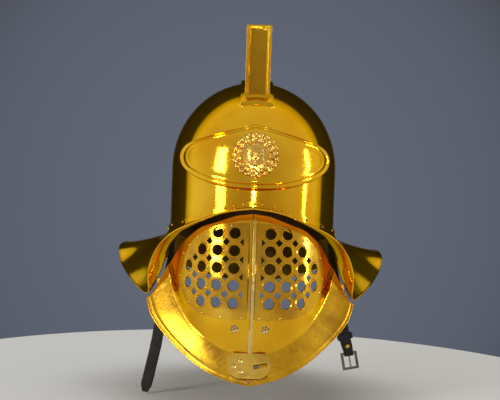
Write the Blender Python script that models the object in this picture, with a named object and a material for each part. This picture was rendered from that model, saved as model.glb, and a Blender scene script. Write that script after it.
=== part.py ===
"""Murmillo helmet: a brass bowl and brim, two hinged visor halves with pierced
grilles, a hollow crest, a brow plate with a mask medallion, and chin straps.

The helmet faces -Y, +Z is up and +X is the viewer's right. Heights in the
tables are taken from the brim level, and an empty then lowers everything so
that the origin is the inside of the crown, where the head carries it.
"""
import math

import bmesh
import bpy
from mathutils import Matrix, Vector
from mathutils.geometry import delaunay_2d_cdt

MM = 0.001

# Sheets and clearances
SHEET = 1.4 * MM
GRILLE_SHEET = 1.2 * MM
PLATE_SHEET = 1.6 * MM
GAP = 0.3 * MM

# Bowl
BOWL_HALF_WIDTH = 103 * MM
BOWL_HALF_DEPTH = 122 * MM
BOWL_SHOULDER = 45 * MM
BOWL_DOME = 109 * MM
BOWL_COLUMNS = 40
BOWL_RINGS = 8

# Brim
BRIM_FRONT_REACH = 160 * MM
BRIM_REAR_REACH = 175 * MM
BRIM_HALF_SPAN = 169 * MM
BRIM_CORNER_DROP = 105 * MM
BRIM_COLLAR = 6 * MM
BRIM_STAND = 0.5 * MM
BRIM_SIDE_DROP = 38 * MM
BRIM_SAG = 12 * MM

# Brow plate
BROW_HALF_WIDTH = 86.5 * MM
BROW_CENTRE_HEIGHT = 53 * MM
BROW_PEAK = 39 * MM
BROW_DEPTH = 37 * MM
BROW_RISE = 3 * MM
BROW_CROWN = 1.05

# Medallion
MEDAL_RADIUS = 25 * MM
MEDAL_HEIGHT = 55 * MM
MEDAL_RELIEF = 5 * MM
MEDAL_CURLS = 16
MEDAL_STAND = 0.7 * MM

# Crest
CREST_TOP = 211 * MM
CREST_FRONT = 87 * MM
CREST_REAR = 101 * MM
CREST_HALF_WIDTH = 14.5 * MM
CREST_BORDER = 3.2 * MM
CREST_RECESS = 1.8 * MM
CREST_SLOPE = 0.5 * MM
CREST_FOOT = 5 * MM
CREST_SEAT = 4 * MM

# Visor
VISOR_HALF_WIDTH = 98 * MM
VISOR_TOP = 10 * MM
VISOR_CHIN_ROOT = 167 * MM
VISOR_RIDGE_REACH = 152 * MM
VISOR_RIDGE_BOW = 12 * MM
VISOR_SIDE_DEPTH = 63 * MM
VISOR_CURVE = 2.8
VISOR_FOLD = 0.1
VISOR_FILL = 13 * MM
VISOR_SEAM = 1.2 * MM
FLANGE_HALF_WIDTH = 121 * MM
FLANGE_CHIN_REACH = 158 * MM
FLANGE_CHIN_DROP = 198 * MM
FLANGE_BEAD = 0.9 * MM

# Grille
HOLE_RADIUS = 6 * MM
HOLE_SIDES = 12
HOLE_PITCH = 19.5 * MM
HOLE_ROW_PITCH = 19 * MM
HOLE_TOP_ROW = 32 * MM
DIAMOND_HALF = 4.3 * MM
GRILLE_HALF_WIDTH = 81 * MM
GRILLE_TOP = 20 * MM
GRILLE_BOTTOM = 126 * MM
GRILLE_INNER = 4 * MM
EYE_MARGIN = 4 * MM
GRILLE_FILL = 20 * MM
GRILLE_STAND = 0.5 * MM

# Visor hinges
HINGE_X = 106 * MM
HINGE_Y = 81 * MM
HINGE_TOP = 106 * MM
HINGE_LENGTH = 24 * MM
BRACKET_ROOM = 1.5 * MM
BRACKET_STAND = 0.5 * MM
BRACKET_HALF_WIDTH = 4 * MM
KNUCKLE_RADIUS = 3.6 * MM
PIN_RADIUS = 1.6 * MM
LEAF_SHEET = 1.5 * MM
LEAF_STAND = 0.4 * MM

# Hasp on the chin
HASP_HALF_LENGTH = 24 * MM
HASP_HALF_HEIGHT = 15 * MM
HASP_CORNER = 11 * MM
HASP_CENTRE_SHARE = 0.43
HASP_SHEET = 1.6 * MM
HASP_FILL = 6 * MM
HASP_STAND = 1.1 * MM
HASP_SLOT = 2.4 * MM
HASP_SLOT_HALF_LENGTH = 7.5 * MM
HASP_SLOT_X = 12.5 * MM
HASP_RIVET = 2.6 * MM
STUD_X = 8.5 * MM
STUD_STAND = 0.2 * MM
STUD_HALF_LENGTH = 2.6 * MM
STUD_HALF_WIDTH = 1.4 * MM
STUD_RISE = 1.9 * MM

# Straps
STRAP_WIDTH = 14 * MM
STRAP_LEATHER = 2.4 * MM
STRAP_LEFT_LENGTH = 218 * MM
STRAP_RIGHT_LENGTH = 166 * MM
STRAP_Y = 25 * MM
STRAP_SPREAD = 27 * MM
STRAP_RIVET_DROP = 12 * MM
STRAP_ROOM = 1.2 * MM
STRAP_RIVET = 3.4 * MM
KEEPER_WIDTH = 7 * MM
KEEPER_WALL = 1.6 * MM
BUCKLE_HALF_WIDTH = 9.5 * MM
BUCKLE_LENGTH = 21 * MM
BUCKLE_WIRE = 1.25 * MM
BUCKLE_ROOM = 0.37 * MM
BUCKLE_EYE = 0.982
PRONG_ROOM = 0.6 * MM
PRONG_HALF = 0.8 * MM
KEEPER_ALONG = 0.86
BUCKLE_RIVET_ALONG = 0.93

# Half of the brim from front to rear. Angle is round the bowl in degrees, collar the
# drop of the joint as a share of the side drop, side, reach and drop the outer edge as
# shares of the half span, of the front or rear reach and of the corner drop.
BRIM_TABLE = [
    # angle, collar, side, reach, drop, sag
    (0, 0.055, 0.000, -1.000, 0.030, 0.10),
    (12, 0.13, 0.160, -0.981, 0.066, 0.10),
    (24, 0.30, 0.302, -0.931, 0.143, 0.15),
    (42, 0.56, 0.532, -0.775, 0.314, 0.30),
    (52, 0.69, 0.651, -0.669, 0.514, 0.60),
    (58, 0.755, 0.704, -0.612, 0.762, 0.70),
    (63, 0.795, 0.704, -0.556, 1.000, 0.80),
    (68, 0.81, 0.787, -0.412, 0.971, 0.75),
    (76, 0.90, 0.882, -0.237, 0.857, 0.50),
    (86, 0.97, 0.964, -0.038, 0.724, 0.25),
    (95, 1.00, 1.000, 0.114, 0.560, 0.15),
    (108, 1.05, 0.959, 0.343, 0.520, 0.20),
    (125, 1.25, 0.817, 0.600, 0.640, 0.30),
    (145, 1.50, 0.544, 0.829, 0.850, 0.35),
    (162, 1.68, 0.272, 0.957, 1.000, 0.35),
    (180, 1.75, 0.000, 1.000, 1.060, 0.35),
]

# Right half of the brow plate's outline, as shares of its half width and of the
# peak or the depth about its centre.
BROW_TABLE = [
    # across, height
    (0.00, 1.00),
    (0.24, 0.85),
    (0.48, 0.70),
    (0.72, 0.55),
    (0.88, 0.43),
    (0.97, 0.25),
    (1.00, 0.03),
    (0.96, -0.25),
    (0.85, -0.50),
    (0.66, -0.73),
    (0.44, -0.89),
    (0.22, -0.97),
    (0.00, -1.00),
]

# Brow plate from its edge to its middle: share of the way in and rise over the bowl.
BROW_PROFILE = [
    # inward, rise
    (0.00, 0.10),
    (0.035, 0.75),
    (0.075, 0.45),
    (0.12, 1.00),
    (0.45, 1.05),
]

# Medallion from its rim to its middle: radius share and relief share, with the part
# of the relief that the curls take away between them.
MEDAL_PROFILE = [
    # radius, relief, curl
    (1.00, 0.25, 0.00),
    (0.94, 0.55, 0.45),
    (0.80, 0.70, 0.45),
    (0.70, 0.35, 0.10),
    (0.60, 0.65, 0.35),
    (0.46, 0.50, 0.10),
    (0.32, 0.85, 0.00),
    (0.16, 1.00, 0.00),
]

# Crest top from front to rear, as shares of the front and rear reach and of the top.
CREST_TABLE = [
    # reach, height
    (-1.00, 1.000),
    (-0.60, 1.008),
    (-0.20, 1.010),
    (0.27, 0.985),
    (0.54, 0.915),
    (0.76, 0.820),
    (0.90, 0.715),
    (1.00, 0.610),
]

# Top edge of a visor half, as shares of its half width and of the root's depth.
VISOR_TOP_TABLE = [
    # across, drop
    (0.20, 0.078),
    (0.41, 0.122),
    (0.58, 0.158),
    (0.68, 0.200),
    (0.79, 0.260),
    (0.88, 0.336),
    (0.95, 0.407),
]

# The flange from the brim corner to the chin: its root on the dome, as shares of the
# visor's half width and root depth, and its outer edge, as shares of its own sizes.
FLANGE_TABLE = [
    # root across, root drop, edge across, edge reach, edge drop
    (1.000, 0.443, 0.955, 0.557, 0.550),
    (0.940, 0.563, 1.000, 0.560, 0.568),
    (0.840, 0.683, 0.940, 0.625, 0.665),
    (0.675, 0.814, 0.785, 0.715, 0.770),
    (0.450, 0.916, 0.530, 0.850, 0.890),
    (0.225, 0.976, 0.281, 0.940, 0.962),
    (0.000, 1.000, 0.000, 1.000, 1.000),
]

# The flange from its root to its edge: share of the width, and the bead's rise.
FLANGE_PROFILE = [
    # outward, rise
    (0.50, 0.0),
    (0.78, 0.0),
    (0.84, 1.0),
    (0.93, 1.0),
    (1.00, 0.2),
]

# Outline of the grille plate, as shares of its half width and of its top and bottom.
GRILLE_TABLE = [
    # across, drop
    (0.28, 0.015),
    (0.48, 0.035),
    (0.62, 0.085),
    (0.76, 0.160),
    (0.88, 0.250),
    (0.96, 0.350),
    (1.00, 0.460),
    (1.00, 0.600),
    (0.96, 0.740),
    (0.86, 0.880),
    (0.66, 0.975),
    (0.40, 1.000),
]

# Columns of round holes in each row of the grille, counted from the ridge.
GRILLE_ROWS = [2, 3, 4, 4, 3]

# Rivets of the hasp plate, from its middle to its hinge side
HASP_RIVETS = [
    # across as a share of the half length, up as a share of the half height
    (-0.39, 0.36),
    (-0.68, -0.16),
    (-0.36, -0.44),
]

# A strap from its seat to its end: share of the length, of the spread outward and of
# the way forward, and its twist in degrees.
STRAP_TABLE = [
    # along, outward, forward, twist
    (0.00, 0.00, 0.00, 78),
    (0.16, 0.03, 0.10, 74),
    (0.30, 0.12, 0.35, 48),
    (0.45, 0.26, 0.65, 22),
    (0.60, 0.42, 0.85, 10),
    (0.75, 0.60, 0.95, 6),
    (0.90, 0.84, 1.00, 4),
    (1.00, 1.00, 1.00, 4),
]
STRAP_FORWARD = 16 * MM
STRAP_TOP = 14 * MM


for old in list(bpy.data.objects):
    bpy.data.objects.remove(old, do_unlink=True)


def material(name, colour, roughness, metallic):
    made = bpy.data.materials.new(name)
    made.use_nodes = True
    shader = made.node_tree.nodes["Principled BSDF"]
    shader.inputs["Base Color"].default_value = (*colour, 1)
    shader.inputs["Roughness"].default_value = roughness
    shader.inputs["Metallic"].default_value = metallic
    return made


BRASS = material("brass", (0.78, 0.52, 0.12), 0.18, 1)
CAST_BRASS = material("cast_brass", (0.70, 0.46, 0.16), 0.32, 1)
STEEL = material("steel", (0.45, 0.42, 0.38), 0.35, 1)
LEATHER = material("leather", (0.045, 0.028, 0.02), 0.6, 0)

helmet = bpy.data.objects.new("helmet", None)
bpy.context.collection.objects.link(helmet)
helmet.location.z = -(BOWL_SHOULDER + BOWL_DOME - SHEET)


def hinge_empty(name, side):
    pivot = bpy.data.objects.new(name, None)
    bpy.context.collection.objects.link(pivot)
    pivot.parent = helmet
    pivot.location = (side * HINGE_X, -HINGE_Y, 0)
    return pivot


hinge_left = hinge_empty("hinge_left", -1)
hinge_right = hinge_empty("hinge_right", 1)


def curve_row(table, place):
    """A row between the rows of a table, on a Catmull-Rom curve through them."""
    last = len(table) - 1
    index = min(int(place), last - 1)
    t = place - index
    a, b, c, d = (table[min(max(index + k, 0), last)] for k in (-1, 0, 1, 2))
    row = []
    for p, q, r, s in zip(a, b, c, d):
        row.append(q + 0.5 * t * (r - p + t * (2 * p - 5 * q + 4 * r - s + t * (3 * (q - r) + s - p))))
    return row


def add(name, mesh, finish, parent=helmet, sheet=0, bevel=0):
    """Link a mesh as a named piece, with a wall or an edge bevel where given."""
    piece = bpy.data.objects.new(name, mesh)
    bpy.context.collection.objects.link(piece)
    piece.parent = parent
    if parent is not helmet:
        mesh.transform(Matrix.Translation(-parent.location))
    mesh.materials.append(finish)
    mesh.shade_smooth()
    mesh.set_sharp_from_angle(angle=math.radians(35))
    if sheet:
        wall = piece.modifiers.new("wall", "SOLIDIFY")
        wall.thickness = sheet
        wall.offset = -1
        wall.use_even_offset = True
    if bevel:
        edge = piece.modifiers.new("edge", "BEVEL")
        edge.width = bevel
        edge.limit_method = "ANGLE"
    return piece


def join(piece, other, operation="UNION"):
    """Cut or join one piece with another, which then stays out of the model."""
    step = piece.modifiers.new(operation.lower(), "BOOLEAN")
    step.operation = operation
    step.solver = "EXACT"
    step.object = other
    other.hide_render = True
    other.display_type = "WIRE"


def mesh_of(name, points, faces, outward=None):
    """A mesh from points and faces, turned so that its faces look along outward."""
    mesh = bpy.data.meshes.new(name)
    mesh.from_pydata([tuple(p) for p in points], [], faces)
    work = bmesh.new()
    work.from_mesh(mesh)
    bmesh.ops.remove_doubles(work, verts=work.verts, dist=0.01 * MM)
    bmesh.ops.recalc_face_normals(work, faces=work.faces)
    if outward is not None:
        facing = sum(f.normal.dot(outward(f.calc_center_median())) * f.calc_area() for f in work.faces)
        if facing < 0:
            bmesh.ops.reverse_faces(work, faces=work.faces)
    work.to_mesh(mesh)
    work.free()
    return mesh


def grid_faces(rows, columns, around=False):
    faces = []
    for i in range(rows - 1):
        for j in range(columns if around else columns - 1):
            k = (j + 1) % columns
            faces.append((i * columns + j, i * columns + k, (i + 1) * columns + k, (i + 1) * columns + j))
    return faces


def bowl_point(x, z, offset=0.0):
    """The front of the bowl's outer surface at x and height z, moved out by offset."""
    up = max(0.0, z - BOWL_SHOULDER) / BOWL_DOME
    across = x / BOWL_HALF_WIDTH
    back = math.sqrt(max(0.0, 1 - across ** 2 - up ** 2))
    y = -BOWL_HALF_DEPTH * back
    normal = Vector((across / BOWL_HALF_WIDTH, -back / BOWL_HALF_DEPTH, up / BOWL_DOME)).normalized()
    return Vector((x, y, z)) + offset * normal


def bowl_height(x, y, grow=0.0):
    """Height of the bowl's outer surface, moved out by grow, over a point of its plan."""
    rest = 1 - (x / (BOWL_HALF_WIDTH + grow)) ** 2 - (y / (BOWL_HALF_DEPTH + grow)) ** 2
    return BOWL_SHOULDER + (BOWL_DOME + grow) * math.sqrt(max(0.0, rest))


def brim_row(angle):
    """The brim's table at an angle from the front, for either side."""
    turn = abs((angle + 180) % 360 - 180)
    place = 0
    while place < len(BRIM_TABLE) - 2 and BRIM_TABLE[place + 1][0] < turn:
        place += 1
    first, second = BRIM_TABLE[place][0], BRIM_TABLE[place + 1][0]
    row = curve_row(BRIM_TABLE, place + (turn - first) / (second - first))
    return row


def collar_height(angle):
    return -BRIM_SIDE_DROP * brim_row(angle)[1]


def ring_point(angle, grow):
    turn = math.radians(angle)
    return (BOWL_HALF_WIDTH + grow) * math.sin(turn), -(BOWL_HALF_DEPTH + grow) * math.cos(turn)


def build_bowl():
    points = []
    angles = [360 * k / BOWL_COLUMNS for k in range(BOWL_COLUMNS)]
    for angle in angles:
        x, y = ring_point(angle, 0)
        points.append((x, y, collar_height(angle)))
    for level in range(BOWL_RINGS):
        tilt = math.radians(90 * level / BOWL_RINGS)
        for angle in angles:
            x, y = ring_point(angle, 0)
            points.append((x * math.cos(tilt), y * math.cos(tilt), BOWL_SHOULDER + BOWL_DOME * math.sin(tilt)))
    faces = grid_faces(BOWL_RINGS + 1, BOWL_COLUMNS, around=True)
    top = len(points)
    points.append((0, 0, BOWL_SHOULDER + BOWL_DOME))
    last = BOWL_RINGS * BOWL_COLUMNS
    for j in range(BOWL_COLUMNS):
        faces.append((last + j, last + (j + 1) % BOWL_COLUMNS, top))
    mesh = mesh_of("bowl", points, faces, lambda c: Vector((c.x, c.y, c.z)))
    add("bowl", mesh, BRASS, sheet=SHEET)


def brim_angles():
    half = []
    for first, second in zip(BRIM_TABLE, BRIM_TABLE[1:]):
        half.extend([first[0], (first[0] + second[0]) / 2])
    return half + [180] + [360 - angle for angle in reversed(half[1:])]


def brim_point(angle, share):
    """The brim's top surface, from its joint with the bowl to its outer edge."""
    turn, collar, side, reach, drop, sag = brim_row(angle)
    x, y = ring_point(angle, GAP + SHEET + BRIM_STAND)
    start = Vector((x, y, collar_height(angle)))
    sign = -1 if (angle % 360) > 180 else 1
    length = BRIM_FRONT_REACH if reach < 0 else BRIM_REAR_REACH
    edge = Vector((sign * side * BRIM_HALF_SPAN, reach * length, -drop * BRIM_CORNER_DROP))
    point = start.lerp(edge, share)
    point.z -= sag * BRIM_SAG * 4 * share * (1 - share)
    return point


def brim_height(x, y):
    """The height of the brim's top face over a place in plan, on the +X side."""
    angle, share = 90.0, 0.5
    angle_step, share_step = 45.0, 0.25
    for _ in range(24):
        spots = [(angle + a * angle_step, share + s * share_step) for a in (-1, 0, 1) for s in (-1, 0, 1)]
        spots = [(min(max(a, 1), 179), min(max(s, 0), 1)) for a, s in spots]
        near = min(spots, key=lambda spot: math.hypot(brim_point(*spot).x - x, brim_point(*spot).y - y))
        if near == (angle, share):
            angle_step /= 2
            share_step /= 2
        angle, share = near
    return brim_point(angle, share).z


def build_brim():
    angles = brim_angles()
    points = []
    for angle in angles:
        points.append(brim_point(angle, 0) + Vector((0, 0, BRIM_COLLAR)))
    for share in (0, 0.35, 0.7, 1):
        points.extend(brim_point(angle, share) for angle in angles)
    faces = grid_faces(5, len(angles), around=True)
    mesh = mesh_of("brim", points, faces, lambda c: Vector((c.x, c.y, 0.1)))
    add("brim", mesh, BRASS, sheet=SHEET)


def brow_outline():
    right = []
    for index in range(len(BROW_TABLE) - 1):
        right.extend([BROW_TABLE[index], curve_row(BROW_TABLE, index + 0.5)])
    right[1] = [(a + b) / 2 for a, b in zip(BROW_TABLE[0], BROW_TABLE[1])]
    right.append(BROW_TABLE[-1])
    left = [(-a, h) for a, h in reversed(right[1:-1])]
    outline = []
    for across, height in right + left:
        size = BROW_PEAK if height > 0 else BROW_DEPTH
        outline.append((across * BROW_HALF_WIDTH, height * size))
    return outline


def brow_point(x, z, rise):
    return bowl_point(x, BROW_CENTRE_HEIGHT + z, GAP + PLATE_SHEET + rise)


def build_brow_plate():
    outline = brow_outline()
    points = []
    shares = BROW_PROFILE + [(0.75, BROW_CROWN)]
    for inward, rise in shares:
        keep = 1 - inward
        points.extend(brow_point(x * keep, z * keep, rise * BROW_RISE) for x, z in outline)
    count = len(outline)
    faces = grid_faces(len(shares), count, around=True)
    centre = len(points)
    points.append(brow_point(0, 0, BROW_CROWN * BROW_RISE))
    last = (len(shares) - 1) * count
    faces += [(last + j, last + (j + 1) % count, centre) for j in range(count)]
    mesh = mesh_of("brow_plate", points, faces, lambda c: Vector((0, -1, 0)))
    add("brow_plate", mesh, BRASS, sheet=PLATE_SHEET)


def build_medallion():
    seat = BROW_CROWN * BROW_RISE + GAP + MEDAL_STAND
    columns = 2 * MEDAL_CURLS
    points = []
    centre_z = MEDAL_HEIGHT - BROW_CENTRE_HEIGHT

    def place(radius, turn, rise):
        return brow_point(radius * math.sin(turn), centre_z + radius * math.cos(turn), seat + rise)

    turns = [2 * math.pi * k / columns for k in range(columns)]
    points.extend(place(MEDAL_RADIUS / 2, turn, 0) for turn in turns)
    points.extend(place(MEDAL_RADIUS, turn, 0) for turn in turns)
    for radius, relief, curl in MEDAL_PROFILE:
        for k, turn in enumerate(turns):
            rise = MEDAL_RELIEF * (relief - curl * (k % 2))
            points.append(place(radius * MEDAL_RADIUS, turn, rise))
    faces = grid_faces(len(MEDAL_PROFILE) + 2, columns, around=True)
    front = len(points)
    points.append(place(0, 0, MEDAL_RELIEF))
    back = len(points)
    points.append(place(0, 0, 0))
    last = (len(MEDAL_PROFILE) + 1) * columns
    for k in range(columns):
        after = (k + 1) % columns
        faces.append((last + k, last + after, front))
        faces.append((after, k, back))
    mesh = mesh_of("medallion", points, faces)
    add("medallion", mesh, CAST_BRASS)


def crest_top():
    row = []
    for reach, height in CREST_TABLE:
        length = CREST_FRONT if reach < 0 else CREST_REAR
        row.append((reach * length, height * CREST_TOP))
    return row


def build_crest():
    work = bmesh.new()
    top = crest_top()
    base = []
    steps = 10
    first = math.asin(-CREST_FRONT / BOWL_HALF_DEPTH)
    last = math.asin(CREST_REAR / BOWL_HALF_DEPTH)
    for k in range(steps + 1):
        y = BOWL_HALF_DEPTH * math.sin(first + (last - first) * k / steps)
        base.append((y, bowl_height(CREST_HALF_WIDTH, y, CREST_SEAT)))
    sides = []
    for sign in (-1, 1):
        x = sign * CREST_HALF_WIDTH
        low = [work.verts.new((x, y, z)) for y, z in base]
        high = [work.verts.new((x, y, z)) for y, z in top]
        sides.append((low, high))
        outline = low + list(reversed(high))
        work.faces.new(outline if sign > 0 else list(reversed(outline)))
    (low_left, high_left), (low_right, high_right) = sides
    toe = work.verts.new((0, -CREST_FRONT, bowl_height(0, -CREST_FRONT, CREST_SEAT)))
    heel = work.verts.new((0, CREST_REAR, bowl_height(0, CREST_REAR, CREST_SEAT)))
    front = work.faces.new((low_left[0], toe, low_right[0], high_right[0], high_left[0]))
    for k in range(len(top) - 1):
        work.faces.new((high_left[k], high_right[k], high_right[k + 1], high_left[k + 1]))
    work.faces.new((high_left[-1], high_right[-1], low_right[-1], heel, low_left[-1]))
    work.normal_update()
    for face in [f for f in work.faces if len(f.verts) > 5] + [front]:
        bmesh.ops.inset_individual(
            work, faces=[face], thickness=CREST_BORDER, depth=0, use_even_offset=True)
        bmesh.ops.inset_individual(
            work, faces=[face], thickness=CREST_SLOPE, depth=-CREST_RECESS, use_even_offset=True)
    rim = [e for e in work.edges if e.is_boundary]
    flare = bmesh.ops.extrude_edge_only(work, edges=rim)["geom"]
    middle = (CREST_REAR - CREST_FRONT) / 2
    half_length = (CREST_REAR + CREST_FRONT) / 2
    for vert in [g for g in flare if isinstance(g, bmesh.types.BMVert)]:
        wide = 1 + CREST_FOOT / CREST_HALF_WIDTH
        long = 1 + CREST_FOOT / half_length
        vert.co.x *= wide
        vert.co.y = middle + (vert.co.y - middle) * long
        vert.co.z = bowl_height(vert.co.x, vert.co.y, CREST_SEAT)
    mesh = bpy.data.meshes.new("crest")
    bmesh.ops.recalc_face_normals(work, faces=work.faces)
    upward = sum(f.normal.z * f.calc_area() for f in work.faces)
    if upward < 0:
        bmesh.ops.reverse_faces(work, faces=work.faces)
    work.to_mesh(mesh)
    work.free()
    add("crest", mesh, BRASS, sheet=SHEET)


def visor_y(x, z):
    """The outer face of the visor dome at x and z, on a fold along its ridge."""
    middle = (VISOR_TOP + VISOR_CHIN_ROOT) / 2
    half = (VISOR_CHIN_ROOT - VISOR_TOP) / 2
    bow = VISOR_RIDGE_BOW * ((z + middle) / half) ** 2
    side = VISOR_SIDE_DEPTH * (abs(x) / VISOR_HALF_WIDTH) ** VISOR_CURVE
    return -VISOR_RIDGE_REACH + bow + side + VISOR_FOLD * abs(x)


def visor_point(x, z, offset=0.0):
    step = 0.5 * MM
    slope_x = (visor_y(x + step, z) - visor_y(x - step, z)) / (2 * step) if x > step else VISOR_FOLD
    slope_z = (visor_y(x, z + step) - visor_y(x, z - step)) / (2 * step)
    normal = Vector((slope_x, -1, slope_z)).normalized()
    return Vector((x, visor_y(x, z), z)) + offset * normal


def arc_to_x(arc):
    """How far across the dome a length along its surface reaches."""
    step = 1 * MM
    x = walked = 0.0
    while walked < arc:
        slope = (visor_y(x + step, 0) - visor_y(x, 0)) / step
        walked += step * math.sqrt(1 + slope ** 2)
        x += step
    return x - (walked - arc) / math.sqrt(1 + slope ** 2)


def flange_row(place):
    """Root and edge of the flange between its corner facet, 0, and the chin."""
    if place < 1:
        row = [p + (q - p) * place for p, q in zip(FLANGE_TABLE[0], FLANGE_TABLE[1])]
    else:
        row = curve_row(FLANGE_TABLE[1:], place - 1)
    seam = VISOR_SEAM / 2
    root_x = max(seam, row[0] * VISOR_HALF_WIDTH)
    root_z = -row[1] * VISOR_CHIN_ROOT
    root = Vector((root_x, visor_y(root_x, root_z), root_z))
    edge_x = max(seam, row[2] * FLANGE_HALF_WIDTH)
    edge = Vector((edge_x, -row[3] * FLANGE_CHIN_REACH, -row[4] * FLANGE_CHIN_DROP))
    return root, edge


def flange_point(place, outward, offset=0.0):
    root, edge = flange_row(place)
    ahead = flange_row(min(place + 0.1, len(FLANGE_TABLE) - 1))
    behind = flange_row(max(place - 0.1, 0))
    along = ahead[0].lerp(ahead[1], outward) - behind[0].lerp(behind[1], outward)
    normal = along.cross(edge - root).normalized()
    if normal.y > 0:
        normal.negate()
    return root.lerp(edge, outward) + offset * normal


def flange_at(x, outward, offset=0.0):
    """The flange near the chin, found by its distance from the middle."""
    low, high = 3.0, len(FLANGE_TABLE) - 1.0
    for _ in range(30):
        place = (low + high) / 2
        if flange_point(place, outward).x > abs(x):
            low = place
        else:
            high = place
    point = flange_point(place, outward, offset)
    return Vector((x, point.y, point.z))


def inside(point, outline):
    x, z = point
    hit = False
    for (ax, az), (bx, bz) in zip(outline, outline[1:] + outline[:1]):
        if (az > z) != (bz > z) and x < ax + (z - az) * (bx - ax) / (bz - az):
            hit = not hit
    return hit


def fill(outline, holes, spacing):
    """Triangles over an outline with holes, on a grid of points inside it."""
    points = [Vector(p) for p in outline]
    loops = [list(range(len(outline)))]
    for hole in holes:
        loops.append(list(range(len(points), len(points) + len(hole))))
        points.extend(Vector(p) for p in hole)
    edges = [(a, b) for loop in loops for a, b in zip(loop, loop[1:] + loop[:1])]
    border = []
    for a, b in edges:
        pieces = max(1, round((points[a] - points[b]).length / (spacing / 3)))
        border.extend(points[a].lerp(points[b], k / pieces) for k in range(pieces))
    low_x, high_x = min(p.x for p in points), max(p.x for p in points)
    low_z, high_z = min(p.y for p in points), max(p.y for p in points)
    for i in range(1, int((high_x - low_x) / spacing) + 1):
        for j in range(1, int((high_z - low_z) / spacing) + 1):
            spot = Vector((low_x + i * spacing, low_z + j * spacing))
            if not inside(spot, outline) or any(inside(spot, hole) for hole in holes):
                continue
            if min((spot - p).length for p in border) > spacing * 0.5:
                points.append(spot)
    result = delaunay_2d_cdt(points, edges, [], 0, 1e-7)
    flat, faces = result[0], result[2]
    kept = []
    for face in faces:
        middle = sum((flat[k] for k in face), Vector((0, 0))) / len(face)
        if inside(middle, outline) and not any(inside(middle, hole) for hole in holes):
            kept.append(tuple(face))
    return flat, kept


def grille_outline():
    """The grille plate's outline, in length along the dome and height."""
    outline = [(GRILLE_INNER, -GRILLE_TOP)]
    for across, drop in GRILLE_TABLE:
        outline.append((across * GRILLE_HALF_WIDTH, -GRILLE_TOP - drop * (GRILLE_BOTTOM - GRILLE_TOP)))
    outline.append((GRILLE_INNER, -GRILLE_BOTTOM))
    return outline


def x_to_arc(x):
    step = 0.5 * MM
    arc = 0.0
    for k in range(int(x / step)):
        slope = (visor_y((k + 1) * step, 0) - visor_y(k * step, 0)) / step
        arc += step * math.sqrt(1 + slope ** 2)
    return arc


def eye_opening():
    """The grille's outline moved in by the margin that it is riveted on."""
    outline = grille_outline()
    moved = []
    for k, point in enumerate(outline):
        before = Vector(outline[k - 1])
        after = Vector(outline[(k + 1) % len(outline)])
        along = (after - before).normalized()
        moved.append(tuple(Vector(point) + EYE_MARGIN * Vector((along.y, -along.x))))
    return moved


def grille_holes():
    holes = []
    for row, count in enumerate(GRILLE_ROWS):
        z = -(HOLE_TOP_ROW + row * HOLE_ROW_PITCH)
        for column in range(1, count + 1):
            turns = [2 * math.pi * (k + 0.5) / HOLE_SIDES for k in range(HOLE_SIDES)]
            arc = column * HOLE_PITCH
            holes.append([(arc + HOLE_RADIUS * math.cos(t), z + HOLE_RADIUS * math.sin(t)) for t in turns])
    for row in range(len(GRILLE_ROWS) - 1):
        z = -(HOLE_TOP_ROW + (row + 0.5) * HOLE_ROW_PITCH)
        for column in range(0, min(GRILLE_ROWS[row], GRILLE_ROWS[row + 1], 3) + 1):
            arc = (column + 0.5) * HOLE_PITCH
            near = arc if column == 0 else arc - DIAMOND_HALF
            diamond = [(arc, z - DIAMOND_HALF), (arc + DIAMOND_HALF, z), (arc, z + DIAMOND_HALF)]
            if column:
                diamond.append((near, z))
            holes.append(diamond)
    return holes


def mirrored(points, side):
    return [Vector((side * p[0], p[1], p[2])) for p in points]


def build_visor(name, side, pivot):
    seam = VISOR_SEAM / 2
    places = [k / 2 for k in range(2 * (len(FLANGE_TABLE) - 1) + 1)]
    root = [flange_row(place)[0] for place in places]
    outline = [(seam, -VISOR_TOP)]
    outline += [(a * VISOR_HALF_WIDTH, -d * VISOR_CHIN_ROOT) for a, d in VISOR_TOP_TABLE]
    outline += [(p.x, p.z) for p in root]
    flat, faces = fill(outline, [eye_opening()], VISOR_FILL)
    points = [visor_point(p.x, p.y) for p in flat]
    for p in points:
        p.x = max(p.x, seam)
    start = len(points)
    rows = [[flange_point(place, 0) for place in places]]
    for outward, rise in FLANGE_PROFILE:
        rows.append([flange_point(place, outward, rise * FLANGE_BEAD) for place in places])
        for p in rows[-1]:
            p.x = max(p.x, seam)
        rows[-1][-1].x = seam
    for row in rows:
        points.extend(row)
    faces += [tuple(start + k for k in face) for face in grid_faces(len(rows), len(places))]
    mesh = mesh_of(name, mirrored(points, side), faces, lambda c: Vector((0, -1, 0)))
    add(name, mesh, BRASS, parent=pivot, sheet=SHEET)


def build_grille(name, side, pivot):
    outline = [(x_to_arc(x), z) for x, z in grille_outline()]
    flat, faces = fill(outline, grille_holes(), GRILLE_FILL)
    lift = GAP + GRILLE_SHEET + GRILLE_STAND
    points = [visor_point(arc_to_x(p.x), p.y, lift) for p in flat]
    mesh = mesh_of(name, mirrored(points, side), faces, lambda c: Vector((0, -1, 0)))
    add(name, mesh, BRASS, parent=pivot, sheet=GRILLE_SHEET)


def cylinder(name, radius, length, sides=16):
    """An upright cylinder about the origin."""
    mesh = bpy.data.meshes.new(name)
    work = bmesh.new()
    bmesh.ops.create_cone(
        work, cap_ends=True, segments=sides, radius1=radius, radius2=radius, depth=length)
    work.to_mesh(mesh)
    work.free()
    return mesh


def block(name, low, high):
    mesh = bpy.data.meshes.new(name)
    work = bmesh.new()
    bmesh.ops.create_cube(work, size=1)
    for vert in work.verts:
        vert.co = Vector([(a + b) / 2 + c * (b - a) for a, b, c in zip(low, high, vert.co)])
    work.to_mesh(mesh)
    work.free()
    return mesh


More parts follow.
